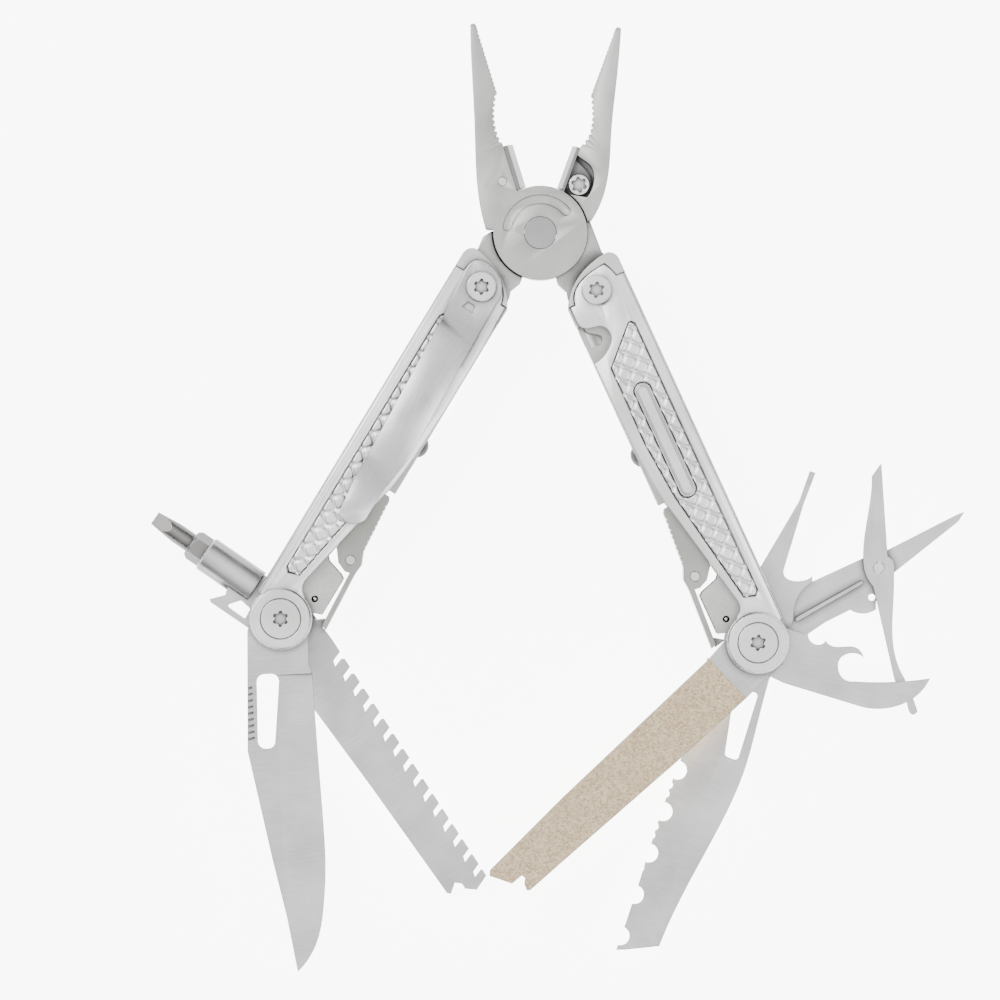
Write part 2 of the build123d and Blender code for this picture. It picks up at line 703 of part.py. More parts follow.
def clip_body():
    """Bent spring-steel pocket clip under the head screw."""
    outline = curved(
        (5.2, 91.2),
        [(3.7, 94.4), (-0.8, 94.2), (-4.2, 91.6), (-4.8, 88.0)],
        (-5.2, 78.3),
        (-6.3, 46.5),
        [(-5.6, 41.5), (-4.9, 37.4)],
        (-4.9, 31.0),
        [(-3.4, 27.6), (-1.1, 26.9), (1.2, 28.3)],
        (2.2, 36.2),
        (2.3, 42.0),
        (4.0, 78.3),
        (5.2, 91.2),
    )
    low = SCALE_TOP
    high = SCALE_TOP + CLIP_RISE
    side = polygon(
        (96.0, low),
        (80.5, low),
        (77.0, high),
        (42.5, high),
        (37.0, low + 0.5),
        (32.0, low + 0.15),
        (26.0, low + 0.7),
        (26.0, low + 0.7 + CLIP_T),
        (32.0, low + 0.15 + CLIP_T),
        (37.4, low + 0.5 + CLIP_T),
        (43.0, high + CLIP_T),
        (76.4, high + CLIP_T),
        (79.9, low + CLIP_T),
        (96.0, low + CLIP_T),
    )
    strap = extrude(Plane.YZ * side, amount=20, both=True) & plate(outline, 0, 30)
    strap -= disc(SCREW_SHANK_R + FIT, 0, 30, 0, HANDLE_SPAN)
    slot = polygon((-0.9, 84.9), (0.9, 84.9), (1.6, 83.2), (-1.6, 83.2))
    return strap - plate(slot, 0, 30)


# ---------------------------------------------------------------- outer blades
def blade_layers(thickness, right, rear):
    """Lowest and highest height of an outer blade in its pocket."""
    low, high = LEFT_BLADE_LOW, LEFT_BLADE_LOW + thickness
    if right:
        low, high = RIGHT_BLADE_HIGH - thickness, RIGHT_BLADE_HIGH
    return (-high, -low) if rear else (low, high)


def knife():
    """Clip-point blade with a thumb hole, a flat grind and grooves for the thumb."""
    low, high = blade_layers(KNIFE_T, False, False)
    outline = curved(
        (-6.1, -1.0),
        (-5.8, 10.6),
        (-6.5, 12.6),
        [(-6.7, 24.2), (-6.95, 35.6), (-7.3, 50.0), (-7.2, 58.0), (-6.4, 66.1), (-4.9, 73.4), (0.5, 81.6)],
        (2.3, 69.0),
        (4.95, 55.3),
        (9.3, 30.2),
        (7.9, 2.5),
        (6.6, -1.0),
        (-6.1, -1.0),
    )
    body = plate(outline, low, high) + disc(BLADE_BASE_R, low, high)
    hole = polygon((1.0, 12.6), (6.3, 12.6), (6.9, 29.8), (3.0, 29.8))
    body -= plate(fillet(hole.vertices(), 1.8), -20, 20)
    grooves = []
    for k in range(9):
        y = 16.0 + 1.45 * k
        groove = polygon((10.5, y), (7.5, y - 0.7), (7.5, y - 0.25), (10.5, y + 0.5))
        grooves.append(plate(groove, high - 0.35, high + 1))
    body -= grooves
    middle = (low + high) / 2
    body = grind(body, middle, KNIFE_T / 2, (2.0, 13.0), (2.4, 68.0), 9.6)
    return body - disc(AXLE_R + RUN, -20, 20)


def grind(body, middle, half, start, end, width):
    """Grind both faces down to a thin edge, width to the left of the line from start to end."""
    dx, dy = end[0] - start[0], end[1] - start[1]
    length = math.hypot(dx, dy)
    angle = math.degrees(math.atan2(dy, dx)) - 90
    drop = half - EDGE_HALF
    wedge = Polygon((0, 0), (-width, -drop), (-3 * width, -drop), (-3 * width, 2), (0, 2), align=None)
    cutter = extrude(Plane(origin=(0, 0, 0), x_dir=(1, 0, 0), z_dir=(0, -1, 0)) * wedge,
                     amount=length + 40, dir=(0, 1, 0))
    place = Pos(start[0], start[1], 0) * Rot(0, 0, angle)
    upper = Pos(0, 0, middle + half) * place * cutter
    lower = Pos(0, 0, middle - half) * place * mirror(cutter, about=Plane.XY)
    return body - upper - lower


def saw():
    """Wood saw with deep gullets and a notched end."""
    low, high = blade_layers(SAW_T, False, True)
    outline = polygon(
        (-6.2, -1.0),
        (-6.8, 10.6),
        (-6.3, SAW_END),
        (-2.6, SAW_END + 1.5),
        (-0.5, 76.0),
        (-0.5, 74.6),
        (0.7, 73.5),
        (2.9, 75.2),
        (3.6, 74.5),
        (4.6, 44.6),
        (5.7, 22.0),
        (6.2, 4.0),
        (6.2, -1.0),
    )
    body = plate(outline, low, high) + disc(BLADE_BASE_R, low, high)
    gullets = []
    for k in range(15):
        y = 14.5 + SAW_PITCH * k
        gullets.append(plate(polygon((-9, y - 1.3), (-9, y + 2.4), (-6.0, y + 1.0), (-3.9, y + 1.7),
                                     (-4.3, y + 0.4)), -20, 20))
    return body - gullets - disc(AXLE_R + RUN, -20, 20)


def serrated_blade():
    """Blunt-ended serrated blade with a thumb hole."""
    low, high = blade_layers(SERRATED_T, True, True)
    outline = curved(
        (6.0, -1.0),
        (4.6, 10.0),
        (4.6, 26.4),
        (6.4, 30.4),
        [(6.5, 40.4), (6.0, 52.0), (5.2, 66.0), (4.8, 78.7)],
        (3.0, 78.0),
        (-4.3, 74.3),
        [(-6.5, 50.8), (-8.3, 28.7), (-7.3, 17.9), (-6.2, 7.6)],
        (-6.2, -1.0),
        (6.0, -1.0),
    )
    body = plate(outline, low, high) + disc(BLADE_BASE_R, low, high)
    scallops = []
    for k in range(5):
        y = 34.5 + 10.2 * k
        scallops.append(disc(2.2, -20, 20, 6.3 - 0.03 * k * 10, y))
        for step in (3.9, 6.1):
            scallops.append(disc(0.9, -20, 20, 6.9 - 0.03 * k * 10, y + step))
    body -= scallops
    hole = polygon((-5.0, 11.2), (-2.4, 11.2), (-0.6, 17.4), (-2.8, 27.5), (-6.0, 27.5))
    body -= plate(fillet(hole.vertices(), 0.9), -20, 20)
    body = mirror(body, about=Plane.YZ)
    body = grind(body, (low + high) / 2, SERRATED_T / 2, (1.9, 12.0), (1.7, 73.0), 7.0)
    body = mirror(body, about=Plane.YZ)
    return body - disc(AXLE_R + RUN, -20, 20)


def file_outline(inset):
    """Outline of the diamond file, or of its coated area when inset."""
    start = 10.8 if inset else -1.0
    return polygon(
        (-7.5 + inset, start),
        (-7.4 + inset, 11.8),
        (-6.9 + inset, 33.0),
        (-5.3 + inset, 67.8),
        (-4.9 + inset, 77.4 - inset),
        (-4.3, 78.0 - inset),
        (-2.9, 77.4 - inset),
        (-2.0, 76.3 - inset),
        (-1.1, 76.5 - inset),
        (-0.9, 79.4 - inset),
        (4.0, 81.9 - inset),
        (4.9 - inset, 80.9 - inset),
        (5.4 - inset, 57.4),
        (5.1 - inset, 11.7),
        (5.6 - inset, 5.0 if not inset else 11.0),
        (5.9 - inset, start),
    )


def diamond_file():
    """Flat file body and its two coated faces."""
    low, high = blade_layers(FILE_T, True, False)
    low, high = low + GRIT_T, high - GRIT_T
    body = plate(file_outline(0.0), low, high) + disc(BLADE_BASE_R, low, high)
    body -= disc(AXLE_R + RUN, -20, 20)
    coat = plate(file_outline(0.15), high, high + GRIT_T) + plate(file_outline(0.15), low - GRIT_T, low)
    return body, coat


# ---------------------------------------------------------------- inner tools
def inner_base(low, high):
    """Round eye of an inner tool."""
    return disc(TOOL_BASE_R, low, high)


def bushed(body):
    """Bore an inner tool for its bushing."""
    return body - disc(BUSH_R + RUN, -20, 20)


def bushing(low, high):
    """Sleeve between the axle and an inner tool."""
    return ring(BUSH_R, AXLE_R + RUN, low, high)


def bit_holder():
    """Socket for hex bits on a flat neck, with a nail hook."""
    low, high = -HOLDER_NECK_HALF, HOLDER_NECK_HALF
    neck = polygon(
        (-6.2, 0.0),
        (-6.3, 15.6),
        (-5.8, 16.2),
        (-3.0, 13.8),
        (1.0, HOLDER_START + 6),
        (5.8, HOLDER_START + 3),
        (6.2, 0.0),
    )
    body = inner_base(low, high) + plate(neck, low, high)
    window = polygon((-5.0, 6.9), (-2.3, 7.2), (-1.9, 10.0), (-4.9, 12.3))
    body -= plate(fillet(window.vertices(), 0.4), -9, 9)
    barrel = Pos(HOLDER_OFFSET, (HOLDER_START + HOLDER_END) / 2, 0) * Rot(90, 0, 0) * Cylinder(
        HOLDER_R, HOLDER_END - HOLDER_START)
    barrel = chamfer(barrel.edges().group_by(Axis.Y)[-1], 0.6)
    body += barrel
    socket = RegularPolygon(HEX_AF / 2 + BIT_FIT, 6, major_radius=False)
    face = Plane(origin=(HOLDER_OFFSET, BIT_START - 0.3, 0), x_dir=(1, 0, 0), z_dir=(0, 1, 0)) * socket
    return bushed(body - extrude(face, amount=30))


def screwdriver_bit():
    """Quarter-inch hex bit with a flat tip."""
    hexagon = RegularPolygon(HEX_AF / 2, 6, major_radius=False)
    base = Plane(origin=(HOLDER_OFFSET, BIT_START, 0), x_dir=(1, 0, 0), z_dir=(0, 1, 0))
    shank = extrude(base * hexagon, amount=17.2)
    profile = polygon((0, 0), (3.9, 0), (3.9, 15.8), (2.9, 17.4), (2.55, 19.0), (2.55, 20.5), (0, 20.5))
    turned_shape = revolve(Plane.XY * profile, Axis.Y)
    shank &= Pos(HOLDER_OFFSET, BIT_START, 0) * turned_shape
    neck = Pos(HOLDER_OFFSET, (BIT_START + 16 + BIT_END) / 2, 0) * Rot(90, 0, 0) * Cylinder(
        2.3, BIT_END - BIT_START - 16)
    side = polygon((BIT_START + 15, -4), (28.5, -4), (BIT_END, -0.45), (BIT_END, 0.45), (28.5, 4),
                   (BIT_START + 15, 4))
    flat = polygon((-4, BIT_START + 15), (-2.4, 30.0), (-1.6, BIT_END), (1.6, BIT_END), (2.4, 30.0),
                   (4, BIT_START + 15))
    neck &= extrude(Plane.YZ * side, amount=20, both=True)
    neck &= Pos(HOLDER_OFFSET, 0, 0) * plate(flat, -9, 9)
    return shank + neck


def can_opener():
    """Can and bottle opener with two hooks."""
    low, high = CAN_OPENER_LOW, CAN_OPENER_LOW + CAN_OPENER_T
    outline = curved(
        (-6.0, 0.0),
        (-4.5, 7.0),
        (-4.15, 11.2),
        [(-2.6, 12.4), (-2.4, 14.3), (-3.6, 15.5)],
        [(-2.8, 18.6), (-3.5, 21.2), (-1.5, 25.0)],
        [(-2.1, 22.2), (-0.2, 19.6), (2.2, 19.7), (4.2, 24.0)],
        [(2.9, 31.0), (-0.1, 40.9)],
        [(4.6, 38.6), (8.4, 33.4), (9.6, 26.4)],
        (8.0, 8.0),
        (6.0, 0.0),
        (-6.0, 0.0),
    )
    belly = polygon((8.1, 25.0), (13.0, 25.0), (13.0, 36.0), (8.1, 36.0))
    ground = plate(belly, low, low + CAN_OPENER_GRIND)
    return bushed(inner_base(low, high) + plate(outline, low, high) - ground)


def flat_driver():
    """Small flat screwdriver with a nail hook on its shoulder."""
    low, high = FLAT_DRIVER_LOW, FLAT_DRIVER_LOW + FLAT_DRIVER_T
    outline = curved(
        (-6.0, 0.0),
        (-4.5, 16.8),
        (-0.7, 34.1),
        (-0.5, 41.5),
        (0.9, 41.5),
        (0.5, 33.8),
        (0.8, 17.9),
        [(1.6, 16.4), (3.9, 16.1), (7.5, 18.5)],
        (8.0, 17.2),
        [(6.7, 15.4), (6.4, 7.7)],
        (6.1, 0.0),
        (-6.0, 0.0),
    )
    body = inner_base(low, high) + plate(outline, low, high)
    side = polygon((-9, low - 1), (33, low - 1), (42, low + 0.65), (42, high - 0.65), (33, high + 1),
                   (-9, high + 1))
    body &= extrude(Plane.YZ * side, amount=20, both=True)
    return bushed(body)


def scissors_fixed_blade():
    """Scissor blade that is one piece with the scissors' arm."""
    low, high = SCISSOR_FIXED_LOW, SCISSOR_FIXED_LOW + SCISSOR_T
    outline = curved(
        (-6.0, 0.0),
        (-5.1, 12.0),
        (-4.9, 18.5),
        (-3.3, 31.3),
        (-1.9, 37.0),
        (-0.3, 55.4),
        (0.1, 57.0),
        (1.25, 54.5),
        (3.4, 35.6),
        [(4.6, 31.0), (8.4, 27.6)],
        [(7.6, 24.4), (5.3, 22.4)],
        (4.7, 16.0),
        (4.9, 11.5),
        (6.1, 0.0),
        (-6.0, 0.0),
    )
    body = inner_base(low, high) + plate(outline, low, high)
    body -= disc(0.8, -9, 9, 5.5, 28.2)
    body -= disc(SCISSOR_RIVET_R * 0.6 + RUN, -9, 9, *SCISSOR_RIVET)
    return bushed(body)


def scissors_lever():
    """Moving scissor blade with its thumb lever, in its own frame: rivet at the origin, tip +Y."""
    low, high = SCISSOR_LEVER_LOW, SCISSOR_LEVER_LOW + SCISSOR_T
    outline = curved(
        (0.2, 24.0),
        (-0.1, 24.0),
        (-2.0, 21.2),
        [(-3.1, 10.0), (-3.7, 2.7), (-3.5, 0.2), (-1.2, -4.4)],
        (4.1, -26.0),
        (7.0, -31.0),
        [(8.8, -33.9), (9.6, -33.2)],
        (8.6, -30.4),
        (6.7, -26.0),
        [(3.6, -5.2), (3.6, -1.0), (3.4, 1.3), (2.0, 2.7)],
        (0.2, 24.0),
    )
    body = plate(outline, low, high)
    return body - disc(SCISSOR_RIVET_R * 0.6 + RUN, -9, 9)


def scissors_rivet():
    """Shouldered rivet of the scissors."""
    top = SCISSOR_LEVER_LOW + SCISSOR_T
    return disc(SCISSOR_RIVET_R * 0.6, SCISSOR_FIXED_LOW, top)


def scissors_spring():
    """Leaf spring that opens the scissors."""
    leaf = polygon((0.1, 10.4), (1.0, 10.3), (1.7, 28.2), (0.95, 28.4))
    return plate(leaf, SCISSOR_LEVER_LOW, SCISSOR_LEVER_LOW + SCISSOR_T)


# ---------------------------------------------------------------- assembly
def build_left_tools():
    """Knife, saw and bit holder on the left axle."""
    nodes["knife_blade"] = tool_at(knife(), left_axle, KNIFE_DIR)
    nodes["saw_blade"] = tool_at(saw(), left_axle, SAW_DIR)
    nodes["bit_holder_bushing"] = tool_at(
        bushing(-HOLDER_NECK_HALF, HOLDER_NECK_HALF), left_axle, BIT_HOLDER_DIR)
    nodes["bit_holder"] = tool_at(bit_holder(), left_axle, BIT_HOLDER_DIR)
    nodes["screwdriver_bit"] = tool_at(screwdriver_bit(), left_axle, BIT_HOLDER_DIR)


def build_right_tools():
    """File, serrated blade, can opener, small driver and scissors on the right axle."""
    body, coat = diamond_file()
    nodes["file_body"] = tool_at(body, right_axle, FILE_DIR)
    nodes["diamond_grit"] = tool_at(coat, right_axle, FILE_DIR)
    nodes["serrated_blade"] = tool_at(serrated_blade(), right_axle, SERRATED_DIR)
    inner = (
        ("can_opener", can_opener(), CAN_OPENER_DIR, CAN_OPENER_LOW, CAN_OPENER_T),
        ("flat_driver", flat_driver(), FLAT_DRIVER_DIR, FLAT_DRIVER_LOW, FLAT_DRIVER_T),
        ("scissors_fixed_blade", scissors_fixed_blade(), SCISSORS_DIR, SCISSOR_FIXED_LOW, SCISSOR_T),
    )
    for name, shape, direction, low, thickness in inner:
        nodes[name] = tool_at(shape, right_axle, direction)
        sleeve = bushing(low, low + thickness)
        nodes[name.replace("_fixed_blade", "") + "_bushing"] = tool_at(sleeve, right_axle, direction)
    lever = Pos(*SCISSOR_RIVET) * Rot(0, 0, SCISSORS_GAPE) * scissors_lever()
    nodes["scissors_lever"] = tool_at(lever, right_axle, SCISSORS_DIR)
    nodes["scissors_rivet"] = tool_at(Pos(*SCISSOR_RIVET) * scissors_rivet(), right_axle, SCISSORS_DIR)
    nodes["scissors_spring"] = tool_at(scissors_spring(), right_axle, SCISSORS_DIR)


build_front_jaw()
build_rear_jaw()
nodes["pliers_rivet"] = disc(RIVET_R, -JAW_HALF, JAW_HALF)
build_handle(
    "left", in_left,
    (LEFT_BLADE_LOW, LEFT_BLADE_LOW),
    (LEFT_BLADE_LOW + KNIFE_T, LEFT_BLADE_LOW + SAW_T),
    ((HOLDER_NECK_HALF + LAYER_GAP, CHANNEL_HALF, SPACER_R),
     (-CHANNEL_HALF, -HOLDER_NECK_HALF - LAYER_GAP, SPACER_R)),
    notched=False, clipped=True,
)
build_handle(
    "right", in_right,
    (RIGHT_BLADE_HIGH - FILE_T, RIGHT_BLADE_HIGH - SERRATED_T),
    (RIGHT_BLADE_HIGH, RIGHT_BLADE_HIGH),
    ((CAN_OPENER_LOW + CAN_OPENER_T + LAYER_GAP, CHANNEL_HALF, SPACER_R),
     (-CHANNEL_HALF, SCISSOR_FIXED_LOW - LAYER_GAP, SPACER_R),
     (SCISSOR_LEVER_LOW - LAYER_GAP / 2, FLAT_DRIVER_LOW - LAYER_GAP / 2, SPACER_R - 1)),
    notched=True, clipped=False,
)
build_left_tools()
build_right_tools()

# Move the origin to the bottom centre of the finished tool's box, and write one file per piece.
boxes = [shape.bounding_box() for shape in nodes.values()]
middle_x = (min(box.min.X for box in boxes) + max(box.max.X for box in boxes)) / 2
middle_y = (min(box.min.Y for box in boxes) + max(box.max.Y for box in boxes)) / 2
shift = (-middle_x, -middle_y, HALF_THICK)
os.makedirs("parts", exist_ok=True)
for name, shape in nodes.items():
    export_step(Pos(*shift) * shape, os.path.join("parts", name + ".step"))
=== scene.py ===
"""Looks of a folding pliers multi tool, fanned open on a pale table.

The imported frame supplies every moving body.  This script gives each steel piece its own worked
finish, rounds the edges of the jaws, the clip and the scales, adds the pillowed grip panels, the
badge rims and the diamond grains, and sets up the studio.
"""

import json
import logging
import math
from dataclasses import dataclass, field
from enum import Enum
from typing import Optional, Sequence

import bmesh
import bpy
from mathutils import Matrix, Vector

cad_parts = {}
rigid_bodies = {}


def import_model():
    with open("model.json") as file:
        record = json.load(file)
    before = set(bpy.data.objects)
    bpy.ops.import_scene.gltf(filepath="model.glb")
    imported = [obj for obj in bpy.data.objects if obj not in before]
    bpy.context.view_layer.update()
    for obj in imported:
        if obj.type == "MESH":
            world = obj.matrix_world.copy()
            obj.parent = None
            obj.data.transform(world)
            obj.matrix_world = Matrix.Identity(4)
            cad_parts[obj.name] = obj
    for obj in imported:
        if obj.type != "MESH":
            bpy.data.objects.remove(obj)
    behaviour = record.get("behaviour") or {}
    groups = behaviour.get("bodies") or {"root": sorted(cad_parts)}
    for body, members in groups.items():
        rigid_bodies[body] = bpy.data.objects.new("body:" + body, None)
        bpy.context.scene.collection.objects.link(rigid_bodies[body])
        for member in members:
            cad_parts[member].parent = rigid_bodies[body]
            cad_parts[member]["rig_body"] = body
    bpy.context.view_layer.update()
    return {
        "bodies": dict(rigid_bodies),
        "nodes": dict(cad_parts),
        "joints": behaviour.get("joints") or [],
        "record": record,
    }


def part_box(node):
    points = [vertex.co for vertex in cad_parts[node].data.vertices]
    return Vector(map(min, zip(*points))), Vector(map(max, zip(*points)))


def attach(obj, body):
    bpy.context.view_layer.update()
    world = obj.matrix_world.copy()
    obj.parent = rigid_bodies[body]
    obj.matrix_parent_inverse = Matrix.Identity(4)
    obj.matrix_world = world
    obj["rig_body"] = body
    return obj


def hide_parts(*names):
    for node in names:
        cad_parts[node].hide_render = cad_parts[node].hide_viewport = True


LOG = logging.getLogger("multi_tool")
MM = 0.001
Point = tuple[float, float]
Colour = tuple[float, float, float]

# Places of a Mix node's colour sockets.
MIX_FACTOR, MIX_FIRST, MIX_SECOND = 0, 6, 7
MIX_RESULT = 2

# Middle of the view, from the pliers' pivot, in metres.
AIM_FROM_PIVOT: Point = (-0.00933, -0.0618)


class Grain(Enum):
    """How the surface of a steel piece was worked."""

    BLASTED = "blasted"
    BRUSHED = "brushed"
    TURNED = "turned"
    TUMBLED = "tumbled"


# Fineness of each grain, in waves to a metre.
GRAIN_SCALE = {Grain.BLASTED: 5200.0, Grain.BRUSHED: 4200.0, Grain.TURNED: 5200.0, Grain.TUMBLED: 1500.0}
GRAIN_DETAIL = 3.0
BRUSH_STRETCH = 0.035


class Wiring:
    """Short way to add and join nodes in a material or geometry tree."""

    def __init__(self, tree: bpy.types.NodeTree) -> None:
        """Keep the tree that nodes are added to.

        Args:
            tree: Shader or geometry node tree.
        """
        self.tree = tree

    def node(self, kind: str, **values: object) -> bpy.types.Node:
        """Add a node and set its plain properties.

        Args:
            kind: Node class name.
            values: Property names and values.

        Returns:
            The new node.
        """
        made = self.tree.nodes.new(kind)
        for name, value in values.items():
            setattr(made, name, value)
        return made

    def feed(self, socket: bpy.types.NodeSocket, value: object) -> None:
        """Join a socket to another, or set its default.

        Args:
            socket: Input socket.
            value: Output socket or plain value.
        """
        if isinstance(value, bpy.types.NodeSocket):
            self.tree.links.new(value, socket)
        else:
            socket.default_value = value

    def math(self, operation: str, *terms: object, clamp: bool = False) -> bpy.types.NodeSocket:
        """Add a Math node.

        Args:
            operation: Math operation name.
            terms: One to three inputs, each a socket or a number.
            clamp: Whether to keep the result between 0 and 1.

        Returns:
            The value socket.
        """
        made = self.node("ShaderNodeMath", operation=operation, use_clamp=clamp)
        for socket, term in zip(made.inputs, terms):
            self.feed(socket, term)
        return made.outputs[0]

    def vector(self, operation: str, *terms: object, output: str = "Vector") -> bpy.types.NodeSocket:
        """Add a Vector Math node.

        Args:
            operation: Vector Math operation name.
            terms: One or two inputs, each a socket or three numbers.
            output: Name of the wanted output.

        Returns:
            The wanted socket.
        """
        made = self.node("ShaderNodeVectorMath", operation=operation)
        for socket, term in zip(made.inputs, terms):
            self.feed(socket, term)
        return made.outputs[output]

    def object_coordinates(self) -> bpy.types.NodeSocket:
        """Socket of the surface's Object coordinates."""
        return self.node("ShaderNodeTexCoord").outputs["Object"]

    def mix(self, factor: object, first: object, second: object) -> bpy.types.NodeSocket:
        """Mix two colours.

        Args:
            factor: Share of the second colour, from 0 to 1.
            first: Colour at 0, a socket or three numbers.
            second: Colour at 1, a socket or three numbers.

        Returns:
            The mixed colour's socket.
        """
        made = self.node("ShaderNodeMix", data_type="RGBA")
        self.feed(made.inputs[MIX_FACTOR], factor)
        for place, colour in ((MIX_FIRST, first), (MIX_SECOND, second)):
            self.feed(made.inputs[place], (*colour, 1.0) if isinstance(colour, tuple) else colour)
        return made.outputs[MIX_RESULT]

    def noise(self, spot: bpy.types.NodeSocket, scale: float, detail: float = 2.0,
              roughness: float = 0.5) -> bpy.types.NodeSocket:
        """Add a Noise Texture node.

        Args:
            spot: Socket of the place to read.
            scale: Waves to a metre.
            detail: Number of finer layers.
            roughness: Strength of the finer layers.

        Returns:
            The value socket.
        """
        made = self.node("ShaderNodeTexNoise")
        self.feed(made.inputs["Vector"], spot)
        self.feed(made.inputs["Scale"], scale)
        self.feed(made.inputs["Detail"], detail)
        self.feed(made.inputs["Roughness"], roughness)
        return made.outputs[0]

    def bump(self, shader: bpy.types.Node, height: bpy.types.NodeSocket, distance: float,
             strength: float = 1.0, normal: Optional[bpy.types.NodeSocket] = None) -> None:
        """Give a shader a fine relief.

        Args:
            shader: The Principled node.
            height: Socket of the relief.
            distance: Depth of the relief, in metres.
            strength: Share of the relief that shows.
            normal: Normal that the relief stands on, if not the face's own.
        """
        made = self.node("ShaderNodeBump")
        self.feed(made.inputs["Strength"], strength)
        self.feed(made.inputs["Distance"], distance)
        self.feed(made.inputs["Height"], height)
        if normal is not None:
            self.feed(made.inputs["Normal"], normal)
        self.feed(shader.inputs["Normal"], made.outputs[0])

    def remap(self, value: object, low: float, high: object, to_low: float, to_high: float,
              smooth: bool = False) -> bpy.types.NodeSocket:
        """Map a value from one range to another, clamped.

        Args:
            value: Input socket.
            low: Start of the input range.
            high: End of the input range, a number or a socket.
            to_low: Result at the start.
            to_high: Result at the end.
            smooth: Whether to ease in and out.

        Returns:
            The result socket.
        """
        made = self.node("ShaderNodeMapRange")
        made.interpolation_type = "SMOOTHSTEP" if smooth else "LINEAR"
        for socket, term in zip(made.inputs, (value, low, high, to_low, to_high)):
            self.feed(socket, term)
        return made.outputs[0]


@dataclass(frozen=True)
class Finish:
    """Base of every finish: a name and a way to build its material.

    Attributes:
        name: Name of the material.
    """

    name: str

    def material(self) -> bpy.types.Material:
        """Return the finish's material, built once.

        Returns:
            The material.
        """
        found = bpy.data.materials.get(self.name)
        if found is not None:
            return found
        made = bpy.data.materials.new(self.name)
        made.use_nodes = True
        made.node_tree.nodes.clear()
        wiring = Wiring(made.node_tree)
        shader = wiring.node("ShaderNodeBsdfPrincipled")
        out = wiring.node("ShaderNodeOutputMaterial")
        wiring.feed(out.inputs["Surface"], shader.outputs[0])
        self.dress(wiring, shader)
        return made

    def dress(self, wiring: Wiring, shader: bpy.types.Node) -> None:
        """Fill in the shader's inputs.

        Args:
            wiring: Writer on the material's tree.
            shader: The Principled node.
        """
        raise NotImplementedError


